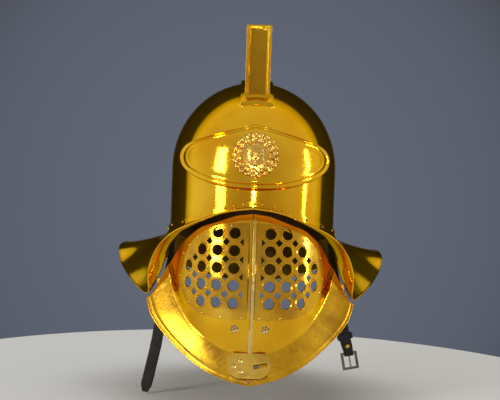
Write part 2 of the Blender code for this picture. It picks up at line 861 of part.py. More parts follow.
def build_hinge(word, side, pivot):
    """A pin hinge behind the outer end of the flange, under the brim."""
    axis = Vector((side * HINGE_X, -HINGE_Y, 0))
    knuckle = HINGE_LENGTH / 2
    middle = -(HINGE_TOP + HINGE_LENGTH / 2)
    end = (HINGE_LENGTH - knuckle) / 2 - GAP

    barrel_mesh = cylinder("barrel", KNUCKLE_RADIUS, knuckle - GAP)
    barrel_mesh.transform(Matrix.Translation(axis + Vector((0, 0, middle))))
    bore_mesh = cylinder("bore", PIN_RADIUS + GAP, HINGE_LENGTH)
    bore_mesh.transform(Matrix.Translation(axis + Vector((0, 0, middle))))
    rows = []
    for place, share in ((1.35, 0.8), (1.6, 0), (1.85, -0.8)):
        row = [flange_point(place, out, -(SHEET + GAP + LEAF_STAND)) for out in (0.12, 0.3, 0.45)]
        z = middle + share * knuckle / 2
        row.append(Vector((HINGE_X, -HINGE_Y - KNUCKLE_RADIUS * 0.75, z)))
        rows.extend(row)
    mesh = mesh_of("hinge_leaf_" + word, mirrored(rows, side), grid_faces(3, 4), lambda c: Vector((0, -1, 0)))
    leaf = add("hinge_leaf_" + word, mesh, BRASS, parent=pivot, sheet=LEAF_SHEET)
    join(leaf, add("barrel_" + word, barrel_mesh, BRASS, parent=pivot))
    join(leaf, add("bore_" + word, bore_mesh, BRASS, parent=pivot), "DIFFERENCE")

    back = -HINGE_Y + KNUCKLE_RADIUS + BRACKET_STAND
    corners = [(HINGE_X + x * BRACKET_HALF_WIDTH, back + y * LEAF_SHEET) for x in (-1, 1) for y in (0, 1)]
    bracket_top = min(brim_height(x, y) for x, y in corners) - SHEET - BRACKET_ROOM
    low = Vector((axis.x - BRACKET_HALF_WIDTH, back, -HINGE_TOP - HINGE_LENGTH))
    high = Vector((axis.x + BRACKET_HALF_WIDTH, back + LEAF_SHEET, bracket_top))
    bracket = add("hinge_bracket_" + word, block("bracket", low, high), BRASS)
    pin_mesh = cylinder("pin", PIN_RADIUS, HINGE_LENGTH)
    pin_mesh.transform(Matrix.Translation(axis + Vector((0, 0, middle))))
    join(bracket, add("pin_" + word, pin_mesh, BRASS))
    for number, z in enumerate((-HINGE_TOP - end / 2, -HINGE_TOP - HINGE_LENGTH + end / 2)):
        lug_mesh = cylinder("lug", KNUCKLE_RADIUS, end)
        lug_mesh.transform(Matrix.Translation(axis + Vector((0, 0, z))))
        join(bracket, add("lug_%s_%d" % (word, number), lug_mesh, BRASS))
        web_low = (axis.x - PIN_RADIUS, -HINGE_Y, z - end / 2)
        web_high = (axis.x + PIN_RADIUS, back + LEAF_SHEET / 2, z + end / 2)
        join(bracket, add("web_%s_%d" % (word, number), block("web", web_low, web_high), BRASS))


def hasp_point(x, up, rise):
    """A point of the chin flange in front of the seam, at rise from its face."""
    root, edge = flange_row(len(FLANGE_TABLE) - 1)
    outward = HASP_CENTRE_SHARE - up / (edge - root).length
    return flange_at(x, outward, rise)


def build_hasp():
    across, up = HASP_HALF_LENGTH - HASP_CORNER, HASP_HALF_HEIGHT - HASP_CORNER
    outline = []
    for corner, (sx, sz) in enumerate(((1, -1), (1, 1), (-1, 1), (-1, -1))):
        for k in range(7):
            turn = math.radians(90 * corner - 90 + 15 * k)
            outline.append((sx * across + HASP_CORNER * math.cos(turn), sz * up + HASP_CORNER * math.sin(turn)))
    slot = []
    for x, z in ((-1, -1), (1, -1), (1, 1), (-1, 1)):
        slot.append((HASP_SLOT_X + x * HASP_SLOT_HALF_LENGTH, z * HASP_SLOT))
    flat, faces = fill(outline, [slot], HASP_FILL)
    points = [hasp_point(p.x, p.y, GAP + HASP_SHEET + HASP_STAND) for p in flat]
    mesh = mesh_of("hasp_plate", points, faces, lambda c: Vector((0, -1, 0)))
    add("hasp_plate", mesh, BRASS, parent=hinge_left, sheet=HASP_SHEET)

    for number, (across, up) in enumerate(HASP_RIVETS, 1):
        seat = GAP + HASP_SHEET + HASP_STAND + GAP
        x, z = across * HASP_HALF_LENGTH, up * HASP_HALF_HEIGHT
        centre = hasp_point(x, z, seat)
        normal = (hasp_point(x, z, seat + HASP_SHEET) - centre).normalized()
        add_rivet("hasp_rivet_%d" % number, centre, normal, HASP_RIVET, hinge_left)

    rows = []
    for rise in (GAP + STUD_STAND, STUD_RISE):
        for sx, sz in ((-1, -1), (1, -1), (1, 1), (-1, 1)):
            rows.append(hasp_point(STUD_X + sx * STUD_HALF_LENGTH, sz * STUD_HALF_WIDTH, rise))
    faces = grid_faces(2, 4, around=True) + [(0, 1, 2, 3), (7, 6, 5, 4)]
    add("hasp_stud", mesh_of("hasp_stud", rows, faces), STEEL, parent=hinge_right)


def add_rivet(name, centre, normal, radius, parent):
    """A low domed rivet head standing on its flat face."""
    work = bmesh.new()
    rings = []
    for across, rise in ((1.0, 0.0), (0.95, 0.25), (0.6, 0.55)):
        ring = []
        for k in range(10):
            turn = 2 * math.pi * k / 10
            ring.append(work.verts.new((
                radius * across * math.cos(turn), radius * across * math.sin(turn), radius * rise)))
        rings.append(ring)
    for lower, upper in zip(rings, rings[1:]):
        for k in range(10):
            work.faces.new((lower[k], lower[(k + 1) % 10], upper[(k + 1) % 10], upper[k]))
    work.faces.new(list(reversed(rings[0])))
    work.faces.new(rings[-1])
    turn = Vector((0, 0, 1)).rotation_difference(normal)
    work.transform(Matrix.Translation(centre) @ turn.to_matrix().to_4x4())
    mesh = bpy.data.meshes.new(name)
    work.to_mesh(mesh)
    work.free()
    add(name, mesh, BRASS, parent=parent)


def strap_centre(side, length, along):
    row = curve_row(STRAP_TABLE, strap_place(along))
    wall = math.sqrt(1 - (STRAP_Y / BOWL_HALF_DEPTH) ** 2) * BOWL_HALF_WIDTH
    start = wall - SHEET - GAP - STRAP_LEATHER / 2 - STRAP_ROOM
    x = start + row[1] * STRAP_SPREAD
    y = -STRAP_Y - row[2] * STRAP_FORWARD
    return Vector((side * x, y, -STRAP_TOP - along * length)), row[3]


def strap_place(along):
    """Where in the strap's table a share of its length lies."""
    for k in range(len(STRAP_TABLE) - 1):
        first, second = STRAP_TABLE[k][0], STRAP_TABLE[k + 1][0]
        if along <= second:
            return k + (along - first) / (second - first)
    return float(len(STRAP_TABLE) - 1)


def strap_frame(side, length, along):
    """Centre, width and face directions of a strap at a share of its length."""
    centre, twist = strap_centre(side, length, along)
    ahead = strap_centre(side, length, min(along + 0.02, 1))[0]
    behind = strap_centre(side, length, max(along - 0.02, 0))[0]
    down = (ahead - behind).normalized()
    turn = math.radians(twist)
    wide = Vector((math.cos(turn), side * math.sin(turn), 0))
    wide = (wide - down * wide.dot(down)).normalized()
    return centre, wide, down, down.cross(wide)


def build_strap(name, side, length, sections):
    points = []
    for along, width, leather in sections:
        centre, wide, down, face = strap_frame(side, length, along)
        for a, b in ((-1, -1), (1, -1), (1, 1), (-1, 1)):
            points.append(centre + wide * (a * width * STRAP_WIDTH / 2) + face * (b * leather * STRAP_LEATHER / 2))
    count = len(sections)
    faces = grid_faces(count, 4, around=True)
    last = 4 * (count - 1)
    faces += [(0, 1, 2, 3), (last + 3, last + 2, last + 1, last)]
    return add(name, mesh_of(name, points, faces), LEATHER)


def tube_frame(name, inner_x, inner_z, outer_x, outer_z, depth):
    """A flat rectangular ring in the XZ plane, open through Y."""
    work = bmesh.new()
    loops = []
    for x, z in ((inner_x, inner_z), (outer_x, outer_z)):
        for y in (-depth, depth):
            loops.append([work.verts.new((sx * x, y, sz * z)) for sx, sz in ((-1, -1), (1, -1), (1, 1), (-1, 1))])
    inner_front, inner_back, outer_front, outer_back = loops
    for k in range(4):
        n = (k + 1) % 4
        work.faces.new((outer_front[k], outer_front[n], inner_front[n], inner_front[k]))
        work.faces.new((inner_back[k], inner_back[n], outer_back[n], outer_back[k]))
        work.faces.new((outer_back[k], outer_back[n], outer_front[n], outer_front[k]))
        work.faces.new((inner_front[k], inner_front[n], inner_back[n], inner_back[k]))
    bmesh.ops.recalc_face_normals(work, faces=work.faces)
    mesh = bpy.data.meshes.new(name)
    work.to_mesh(mesh)
    work.free()
    return mesh


def frame_matrix(centre, wide, down, face):
    """Local X across the strap, local Z up it, local Y into its face."""
    rows = Matrix((wide, -face, -down)).transposed().to_4x4()
    return Matrix.Translation(centre) @ rows


def build_straps():
    plain = [(0.0, 1, 1), (0.08, 1, 1), (0.16, 1, 1), (0.24, 1, 1), (0.32, 1, 1), (0.42, 1, 1),
             (0.52, 1, 1), (0.64, 1, 1), (0.76, 1, 1)]
    build_strap("strap_left", -1, STRAP_LEFT_LENGTH, plain + [(0.88, 1, 1), (0.96, 1, 1), (1.0, 0.5, 1)])
    doubled = [(0.80, 1, 1), (0.82, 1, 2), (0.93, 0.95, 2), (0.965, 0.84, 2.7), (1.0, 0.84, 2.7)]
    strap = build_strap("strap_right", 1, STRAP_RIGHT_LENGTH, plain + doubled)

    eye, wide, down, face = strap_frame(1, STRAP_RIGHT_LENGTH, BUCKLE_EYE)
    across = frame_matrix(eye, wide, down, face) @ Matrix.Rotation(math.radians(90), 4, "Y")
    bore_mesh = cylinder("strap_bore", math.sqrt(2) * BUCKLE_WIRE + BUCKLE_ROOM, 3 * STRAP_WIDTH, sides=10)
    bore_mesh.transform(across)
    join(strap, add("strap_bore", bore_mesh, LEATHER), "DIFFERENCE")

    ring_mesh = tube_frame(
        "buckle_frame",
        BUCKLE_HALF_WIDTH - 2 * BUCKLE_WIRE, BUCKLE_LENGTH / 2 - 2 * BUCKLE_WIRE,
        BUCKLE_HALF_WIDTH + 0.4 * BUCKLE_WIRE, BUCKLE_LENGTH / 2, BUCKLE_WIRE)
    centre = eye + down * (BUCKLE_LENGTH / 2 - BUCKLE_WIRE)
    ring_mesh.transform(frame_matrix(centre, wide, down, face))
    add("buckle_frame", ring_mesh, STEEL)

    start = (1 - BUCKLE_EYE) * STRAP_RIGHT_LENGTH + PRONG_ROOM
    stop = BUCKLE_LENGTH - 1.5 * BUCKLE_WIRE
    prong_mesh = block(
        "buckle_prong",
        (-PRONG_HALF, -PRONG_HALF, -stop), (PRONG_HALF, PRONG_HALF, -start))
    lean = (BUCKLE_WIRE + PRONG_HALF + GAP) / (stop - BUCKLE_WIRE - start)
    for vert in prong_mesh.vertices:
        vert.co.y += lean * (-vert.co.z - start) * math.copysign(1, face.y)
    prong_mesh.transform(frame_matrix(eye, wide, down, face))
    add("buckle_prong", prong_mesh, STEEL)

    centre, wide, down, face = strap_frame(1, STRAP_RIGHT_LENGTH, KEEPER_ALONG)
    half_wide = STRAP_WIDTH / 2 + GAP
    half_thick = STRAP_LEATHER + GAP
    keeper_mesh = tube_frame(
        "keeper", half_wide, half_thick, half_wide + KEEPER_WALL, half_thick + KEEPER_WALL, KEEPER_WIDTH / 2)
    keeper_mesh.transform(frame_matrix(centre, wide, down, face) @ Matrix.Rotation(math.radians(90), 4, "X"))
    add("keeper", keeper_mesh, LEATHER)

    for word, side, length in (("left", -1, STRAP_LEFT_LENGTH), ("right", 1, STRAP_RIGHT_LENGTH)):
        centre, wide, down, face = strap_frame(side, length, STRAP_RIVET_DROP / length)
        inward = face if face.x * side < 0 else -face
        seat = centre + inward * (STRAP_LEATHER / 2 + GAP)
        add_rivet("strap_rivet_" + word, seat, inward, STRAP_RIVET, helmet)
    centre, wide, down, face = strap_frame(1, STRAP_RIGHT_LENGTH, BUCKLE_RIVET_ALONG)
    forward = face if face.y < 0 else -face
    add_rivet("buckle_rivet", centre + forward * (STRAP_LEATHER + GAP), forward, HASP_RIVET, helmet)


build_bowl()
build_brim()
build_brow_plate()
build_medallion()
build_crest()
for word, side, pivot in (("left", -1, hinge_left), ("right", 1, hinge_right)):
    build_visor("visor_" + word, side, pivot)
    build_grille("grille_" + word, side, pivot)
    build_hinge(word, side, pivot)
build_hasp()
build_straps()
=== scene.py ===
"""The murmillo helmet's looks: smooth brass shells, raised grille rings, the cast
medallion, rivets, leather straps, and the finish of every piece."""

import math

import bmesh
import bpy
from mathutils import Matrix, Vector
from mathutils.geometry import delaunay_2d_cdt


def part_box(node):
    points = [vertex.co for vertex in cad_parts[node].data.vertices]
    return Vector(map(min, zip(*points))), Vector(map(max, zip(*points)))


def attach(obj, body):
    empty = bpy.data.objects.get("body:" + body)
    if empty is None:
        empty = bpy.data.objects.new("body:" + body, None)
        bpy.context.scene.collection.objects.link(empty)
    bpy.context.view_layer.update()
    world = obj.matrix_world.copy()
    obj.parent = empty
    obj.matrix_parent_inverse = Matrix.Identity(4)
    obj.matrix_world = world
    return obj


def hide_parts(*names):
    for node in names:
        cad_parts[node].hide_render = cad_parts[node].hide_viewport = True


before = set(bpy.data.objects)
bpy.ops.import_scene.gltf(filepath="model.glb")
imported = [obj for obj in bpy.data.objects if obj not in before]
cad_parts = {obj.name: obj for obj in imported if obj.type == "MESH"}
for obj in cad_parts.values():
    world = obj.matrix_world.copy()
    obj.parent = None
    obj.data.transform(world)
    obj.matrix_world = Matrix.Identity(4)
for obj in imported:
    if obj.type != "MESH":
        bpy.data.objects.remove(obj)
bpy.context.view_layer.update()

MM = 0.001
MERGE = 0.01 * MM
SHARP_ANGLE = math.radians(40)

# Camera: its distance, its lens and sensor in mm, its roll and yaw in degrees, the
# size of its picture, and the pixel at which it sees the front of the brim
CAMERA_DISTANCE = 1100 * MM
CAMERA_LENS = 62.4
CAMERA_ROLL = 2.0
CAMERA_YAW = 0.7
BRIM_PIXEL = (252.5, 205)
IMAGE = (500, 400)
SENSOR = 36

# Studio
FLOOR_RADIUS = 520 * MM
FLOOR_DROP = 2 * MM
FLOOR_SIDES = 96
ROOM_TONES = [
    # place from the front to the rear, colour
    (0.0, (0.42, 0.40, 0.37)),
    (0.25, (0.62, 0.60, 0.56)),
    (0.60, (0.80, 0.78, 0.74)),
    (0.69, (0.5, 0.5, 0.5)),
    (0.72, (0.05, 0.052, 0.04)),
    (0.955, (0.04, 0.042, 0.04)),
    (0.978, (0.10, 0.112, 0.15)),
    (1.0, (0.125, 0.138, 0.18)),
]

# The lip strip along the visor's seam
LIP_WIDTH = 3.5 * MM
LIP_STAND = 0.1 * MM
LIP_RISE = 1.1 * MM
LIP_INSET = 1.5 * MM
LIP_ROWS = 49
LIP_BEVEL = 0.25 * MM

# Fineness of the smooth shells
BOWL_COLUMNS = 128
BOWL_RINGS = 36
BRIM_COLUMNS = 240
BRIM_SHARES = [0, 0.06] + [0.12 + 0.88 * k / 14 for k in range(15)]
MEDAL_COLUMNS = 180
MEDAL_RINGS = 60
VISOR_FILL = 3.6 * MM
VISOR_SEAM_STEPS = 40
GRILLE_FILL = 3.5 * MM
GRILLE_SEAM_STEPS = 30
HOLE_SIDES = 28
CREST_STEPS = 36
STRAP_STEPS = 90
STRAP_SIDES = 16

# Sheets and clearances
SHEET = 1.4 * MM
GRILLE_SHEET = 1.2 * MM
PLATE_SHEET = 1.6 * MM
GAP = 0.3 * MM

# Bowl
BOWL_HALF_WIDTH = 103 * MM
BOWL_HALF_DEPTH = 122 * MM
BOWL_SHOULDER = 45 * MM
BOWL_DOME = 109 * MM

# Brim
BRIM_FRONT_REACH = 160 * MM
BRIM_REAR_REACH = 175 * MM
BRIM_HALF_SPAN = 169 * MM
BRIM_CORNER_DROP = 105 * MM
BRIM_COLLAR = 6 * MM
BRIM_STAND = 0.5 * MM
BRIM_SIDE_DROP = 38 * MM
BRIM_SAG = 12 * MM
BRIM_EDGE = 1.15 * MM
BRIM_EDGE_SHARE = 0.992
BRIM_RIVET = 1.7 * MM
BRIM_RIVET_SHARE = 0.55
BRIM_RIVET_ANGLES = [0, 6, 12, 18, 342, 348, 354] + list(range(36, 325, 16))
# From here rearward the brim's underside is coloured near-black as painted shade.
BRIM_SHADE_FROM = -20 * MM
RIVET_HEIGHT = 1 * MM

# Brow plate
BROW_HALF_WIDTH = 86.5 * MM
BROW_CENTRE_HEIGHT = 53 * MM
BROW_PEAK = 39 * MM
BROW_DEPTH = 37 * MM
BROW_RISE = 3 * MM
BROW_CROWN = 1.05

# Medallion
MEDAL_RADIUS = 25 * MM
MEDAL_HEIGHT = 55 * MM
MEDAL_RELIEF = 5 * MM
MEDAL_STAND = 0.7 * MM
MEDAL_FULL = 0.97
MEDAL_GROUND = 0.30
MEDAL_DEPTH = 0.72
MEDAL_WAVE = 0.03
MASK_RISE = 1.15

# Crest
CREST_TOP = 211 * MM
CREST_FRONT = 87 * MM
CREST_REAR = 101 * MM
CREST_HALF_WIDTH = 14.5 * MM
CREST_BORDER = 3.2 * MM
CREST_RECESS = 1.8 * MM
CREST_SLOPE = 1.2 * MM
CREST_BEVEL = 1.2 * MM
CREST_FOOT = 5 * MM
CREST_SEAT = 4 * MM

# Visor
VISOR_HALF_WIDTH = 98 * MM
VISOR_TOP = 10 * MM
VISOR_CHIN_ROOT = 167 * MM
VISOR_RIDGE_REACH = 152 * MM
VISOR_RIDGE_BOW = 12 * MM
VISOR_SIDE_DEPTH = 63 * MM
VISOR_CURVE = 2.8
VISOR_FOLD = 0.1
VISOR_SEAM = 1.2 * MM
FLANGE_HALF_WIDTH = 121 * MM
FLANGE_CHIN_REACH = 158 * MM
FLANGE_CHIN_DROP = 198 * MM
FLANGE_BEAD = 0.9 * MM
BEAD_START = 0.4
WORN_BEHIND = 0.4 * MM
WORN_BELOW = 3 * MM
WORN_BESIDE = 2 * MM
WORN_TOP = -95 * MM
VENT_CENTRE = (17 * MM, -137 * MM)
VENT_REACH = 3.4 * MM
VENT_PETAL = 1.25 * MM
VENT_MIDDLE = 1.2 * MM

# Grille
HOLE_RADIUS = 6 * MM
HOLE_PITCH = 19.5 * MM
HOLE_ROW_PITCH = 19 * MM
HOLE_TOP_ROW = 32 * MM
DIAMOND_HALF = 4.3 * MM
DIAMOND_COLUMNS = 3
GRILLE_HALF_WIDTH = 81 * MM
GRILLE_TOP = 20 * MM
GRILLE_BOTTOM = 126 * MM
GRILLE_INNER = 4 * MM
EYE_MARGIN = 4 * MM
GRILLE_STAND = 0.5 * MM
RING_REACH = 1 * MM
RING_WIRE = 0.95 * MM
GRILLE_RIVET = 1.45 * MM
GRILLE_RIVET_INSET = 2.1 * MM
GRILLE_MIDDLE = (40 * MM, -72 * MM)
GRILLE_RIVET_CORNERS = [1, 4, 5, 6, 8, 9, 10, 11, 12]
GRILLE_LAST_RIVET = 9 * MM

# Hasp on the chin
HASP_HALF_LENGTH = 24 * MM
HASP_HALF_HEIGHT = 15 * MM
HASP_CENTRE_SHARE = 0.43
HASP_SHEET = 1.6 * MM
HASP_STAND = 1.1 * MM
HASP_RIVET = 2.6 * MM
WASHER_REACH = 0.9 * MM
WASHER_WIRE = 0.5 * MM

# Straps
STRAP_WIDTH = 14 * MM
STRAP_LEATHER = 2.4 * MM
STRAP_LEFT_LENGTH = 218 * MM
STRAP_RIGHT_LENGTH = 166 * MM
STRAP_Y = 25 * MM
STRAP_SPREAD = 27 * MM
STRAP_FORWARD = 16 * MM
STRAP_TOP = 14 * MM
STRAP_ROOM = 1.2 * MM

# Half of the brim from front to rear. Angle is round the bowl in degrees, collar the
# drop of the joint as a share of the side drop, side, reach and drop the outer edge as
# shares of the half span, of the front or rear reach and of the corner drop.
BRIM_TABLE = [
    # angle, collar, side, reach, drop, sag
    (0, 0.055, 0.000, -1.000, 0.030, 0.10),
    (12, 0.13, 0.160, -0.981, 0.066, 0.10),
    (24, 0.30, 0.302, -0.931, 0.143, 0.15),
    (42, 0.56, 0.532, -0.775, 0.314, 0.30),
    (52, 0.69, 0.651, -0.669, 0.514, 0.60),
    (58, 0.755, 0.704, -0.612, 0.762, 0.70),
    (63, 0.795, 0.704, -0.556, 1.000, 0.80),
    (68, 0.81, 0.787, -0.412, 0.971, 0.75),
    (76, 0.90, 0.882, -0.237, 0.857, 0.50),
    (86, 0.97, 0.964, -0.038, 0.724, 0.25),
    (95, 1.00, 1.000, 0.114, 0.560, 0.15),
    (108, 1.05, 0.959, 0.343, 0.520, 0.20),
    (125, 1.25, 0.817, 0.600, 0.640, 0.30),
    (145, 1.50, 0.544, 0.829, 0.850, 0.35),
    (162, 1.68, 0.272, 0.957, 1.000, 0.35),
    (180, 1.75, 0.000, 1.000, 1.060, 0.35),
]

# Right half of the brow plate's outline, as shares of its half width and of the
# peak or the depth about its centre.
BROW_TABLE = [
    # across, height
    (0.00, 1.00),
    (0.24, 0.85),
    (0.48, 0.70),
    (0.72, 0.55),
    (0.88, 0.43),
    (0.97, 0.25),
    (1.00, 0.03),
    (0.96, -0.25),
    (0.85, -0.50),
    (0.66, -0.73),
    (0.44, -0.89),
    (0.22, -0.97),
    (0.00, -1.00),
]

# Brow plate from its edge to its middle: share of the way in and share of its rise.
BROW_PROFILE = [
    (0, 0.02), (0.010, 0.50), (0.024, 0.86), (0.040, 0.50), (0.052, 0.30), (0.075, 0.26), (0.095, 0.36),
    (0.110, 0.86), (0.125, 0.98), (0.145, 0.84), (0.18, 0.90), (0.24, 1.0), (0.32, 1.03), (0.45, 1.05),
    (0.58, 1.05), (0.70, 1.05), (0.82, 1.05), (0.92, 1.05)]

# The mask's features, with the head 1 high and its middle at 0. One that lies off the
# middle is there on both sides. A negative rise is a hollow.
MASK_TABLE = [
    # across, up, half width, half height, softness, rise
    (0, 0.10, 0.28, 0.07, 1.5, 0.10),
    (0.13, 0.01, 0.09, 0.06, 1.2, -0.16),
    (0.13, 0, 0.055, 0.03, 1.5, 0.11),
    (0.17, -0.15, 0.09, 0.10, 1.2, 0.08),
    (0, -0.04, 0.045, 0.15, 1.4, 0.26),
    (0, -0.13, 0.08, 0.05, 1.4, 0.10),
    (0, -0.235, 0.10, 0.03, 1.4, 0.12),
    (0, -0.285, 0.08, 0.028, 1.4, 0.10),
    (0, -0.39, 0.10, 0.07, 1.3, 0.10),
]

# Rings of curls about the mask: radius as a share of the medallion's, half width of a
# curl, and how many there are.
CURL_TABLE = [(0.90, 0.125, 21), (0.69, 0.13, 15)]

# Crest top from front to rear, as shares of the front and rear reach and of the top.
CREST_TABLE = [
    # reach, height
    (-1.00, 1.000),
    (-0.60, 1.008),
    (-0.20, 1.010),
    (0.27, 0.985),
    (0.54, 0.915),
    (0.76, 0.820),
    (0.90, 0.715),
    (1.00, 0.610),
]

# Top edge of a visor half, as shares of its half width and of the root's depth.
VISOR_TOP_TABLE = [
    # across, drop
    (0.006, 0.060),
    (0.10, 0.068),
    (0.20, 0.078),
    (0.41, 0.122),
    (0.58, 0.158),
    (0.68, 0.200),
    (0.79, 0.260),
    (0.88, 0.336),
    (0.95, 0.407),
    (1.0, 0.443),
]

# The flange from the brim corner to the chin: its root on the dome, as shares of the
# visor's half width and root depth, and its outer edge, as shares of its own sizes.
FLANGE_TABLE = [
    # root across, root drop, edge across, edge reach, edge drop
    (1.000, 0.443, 0.955, 0.557, 0.550),
    (0.940, 0.563, 1.000, 0.560, 0.568),
    (0.840, 0.683, 0.940, 0.625, 0.665),
    (0.675, 0.814, 0.785, 0.715, 0.770),
    (0.450, 0.916, 0.530, 0.850, 0.890),
    (0.225, 0.976, 0.281, 0.940, 0.962),
    (0.000, 1.000, 0.000, 1.000, 1.000),
]

# The flange from its root to its edge: share of the width and share of the bead's rise.
FLANGE_PROFILE = [
    (0, 0), (0.03, -0.5), (0.08, -0.3), (0.16, 0), (0.3, 0), (0.45, 0), (0.6, 0), (0.74, 0), (0.79, 0.15),
    (0.82, 0.75), (0.85, 1.0), (0.88, 0.75), (0.905, 0.3), (0.925, 0.25), (0.945, 0.75), (0.97, 1.0),
    (0.99, 0.8), (1.0, 0.3)]

# Outline of the grille plate, as shares of its half width and of its top and bottom.
GRILLE_TABLE = [
    # across, drop
    (0.28, 0.015),
    (0.48, 0.035),
    (0.62, 0.085),
    (0.76, 0.160),
    (0.88, 0.250),
    (0.96, 0.350),
    (1.00, 0.460),
    (1.00, 0.600),
    (0.96, 0.740),
    (0.86, 0.880),
    (0.66, 0.975),
    (0.40, 1.000),
]

# Columns of round holes in each row of the grille, counted from the ridge.
GRILLE_ROWS = [2, 3, 4, 4, 3]

# Rivets of the hasp plate, from its middle to its hinge side
HASP_RIVETS = [
    # across as a share of the half length, up as a share of the half height
    (-0.39, 0.36),
    (-0.68, -0.16),
    (-0.36, -0.44),
]

# A strap from its seat to its end: share of the length, of the spread outward and of
# the way forward, and its twist in degrees.
STRAP_TABLE = [
    # along, outward, forward, twist
    (0.00, 0.00, 0.00, 78),
    (0.16, 0.03, 0.10, 74),
    (0.30, 0.12, 0.35, 48),
    (0.45, 0.26, 0.65, 22),
    (0.60, 0.42, 0.85, 10),
    (0.75, 0.60, 0.95, 6),
    (0.90, 0.84, 1.00, 4),
    (1.00, 1.00, 1.00, 4),
]


def curve_row(table, place):
    """A row between the rows of a table, on a Catmull-Rom curve through them."""
    last = len(table) - 1
    index = min(int(place), last - 1)
    t = place - index
    a, b, c, d = (table[min(max(index + k, 0), last)] for k in (-1, 0, 1, 2))
    row = []
    for p, q, r, s in zip(a, b, c, d):
        row.append(q + 0.5 * t * (r - p + t * (2 * p - 5 * q + 4 * r - s + t * (3 * (q - r) + s - p))))
    return row


def line_row(first, second, t):
    return [p + (q - p) * t for p, q in zip(first, second)]


def grid_faces(rows, columns, around=False):
    """Faces of a grid, whose columns may close into rings."""
    faces = []
    for i in range(rows - 1):
        for j in range(columns if around else columns - 1):
            k = (j + 1) % columns
            faces.append((i * columns + j, i * columns + k, (i + 1) * columns + k, (i + 1) * columns + j))
    return faces


def loop_faces(rows, columns):
    """Faces of a grid that closes both ways."""
    faces = grid_faces(rows, columns, around=True)
    last = (rows - 1) * columns
    return faces + [(last + j, last + (j + 1) % columns, (j + 1) % columns, j) for j in range(columns)]


def capped_faces(rows, columns, based=False):
    """Faces of rings that close on one point, and where based on another below them."""
    last = (rows - 1) * columns
    faces = grid_faces(rows, columns, around=True)
    faces += [(last + j, last + (j + 1) % columns, rows * columns) for j in range(columns)]
    if based:
        faces += [((j + 1) % columns, j, rows * columns + 1) for j in range(columns)]
    return faces


def circle(u, v, radius, sides):
    """Points of a circle about (u, v)."""
    turns = [2 * math.pi * k / sides for k in range(sides)]
    return [(u + radius * math.cos(turn), v + radius * math.sin(turn)) for turn in turns]


def bowl_point(x, z, offset):
    """The front of the bowl's outer surface at x and height z, moved out by offset."""
    up = max(0.0, z - BOWL_SHOULDER) / BOWL_DOME
    across = x / BOWL_HALF_WIDTH
    back = math.sqrt(max(0.0, 1 - across ** 2 - up ** 2))
    y = -BOWL_HALF_DEPTH * back
    normal = Vector((across / BOWL_HALF_WIDTH, -back / BOWL_HALF_DEPTH, up / BOWL_DOME)).normalized()
    return Vector((x, y, z)) + offset * normal


def bowl_height(x, y, grow):
    """Height of the bowl's outer surface, moved out by grow, over a point of its plan."""
    rest = 1 - (x / (BOWL_HALF_WIDTH + grow)) ** 2 - (y / (BOWL_HALF_DEPTH + grow)) ** 2
    return BOWL_SHOULDER + (BOWL_DOME + grow) * math.sqrt(max(0.0, rest))


def brim_row(angle):
    """The brim's table at an angle from the front, for either side."""
    turn = abs((angle + 180) % 360 - 180)
    place = 0
    while place < len(BRIM_TABLE) - 2 and BRIM_TABLE[place + 1][0] < turn:
        place += 1
    first, second = BRIM_TABLE[place][0], BRIM_TABLE[place + 1][0]
    return curve_row(BRIM_TABLE, place + (turn - first) / (second - first))


def collar_height(angle):
    return -BRIM_SIDE_DROP * brim_row(angle)[1]


def ring_point(angle, grow):
    turn = math.radians(angle)
    return (BOWL_HALF_WIDTH + grow) * math.sin(turn), -(BOWL_HALF_DEPTH + grow) * math.cos(turn)


def brim_point(angle, share):
    """The brim's top surface, from its joint with the bowl to its outer edge."""
    turn, collar, side, reach, drop, sag = brim_row(angle)
    x, y = ring_point(angle, GAP + SHEET + BRIM_STAND)
    start = Vector((x, y, collar_height(angle)))
    sign = -1 if (angle % 360) > 180 else 1
    length = BRIM_FRONT_REACH if reach < 0 else BRIM_REAR_REACH
    edge = Vector((sign * side * BRIM_HALF_SPAN, reach * length, -drop * BRIM_CORNER_DROP))
    point = start.lerp(edge, share)
    point.z -= sag * BRIM_SAG * 4 * share * (1 - share)
    return point


def brow_point(x, z, rise):
    return bowl_point(x, BROW_CENTRE_HEIGHT + z, GAP + PLATE_SHEET + rise)


def visor_y(x, z):
    """The outer face of the visor dome at x and z, on a fold along its ridge."""
    middle = (VISOR_TOP + VISOR_CHIN_ROOT) / 2
    half = (VISOR_CHIN_ROOT - VISOR_TOP) / 2
    bow = VISOR_RIDGE_BOW * ((z + middle) / half) ** 2
    side = VISOR_SIDE_DEPTH * (abs(x) / VISOR_HALF_WIDTH) ** VISOR_CURVE
    return -VISOR_RIDGE_REACH + bow + side + VISOR_FOLD * abs(x)


def visor_point(x, z, offset=0.0):
    step = 0.5 * MM
    slope_x = (visor_y(x + step, z) - visor_y(x - step, z)) / (2 * step) if x > step else VISOR_FOLD
    slope_z = (visor_y(x, z + step) - visor_y(x, z - step)) / (2 * step)
    normal = Vector((slope_x, -1, slope_z)).normalized()
    return Vector((x, visor_y(x, z), z)) + offset * normal


def arc_to_x(arc):
    """How far across the dome a length along its surface reaches."""
    step = 1 * MM
    x = walked = 0.0
    while walked < arc:
        slope = (visor_y(x + step, 0) - visor_y(x, 0)) / step
        walked += step * math.sqrt(1 + slope ** 2)
        x += step
    return x - (walked - arc) / math.sqrt(1 + slope ** 2)


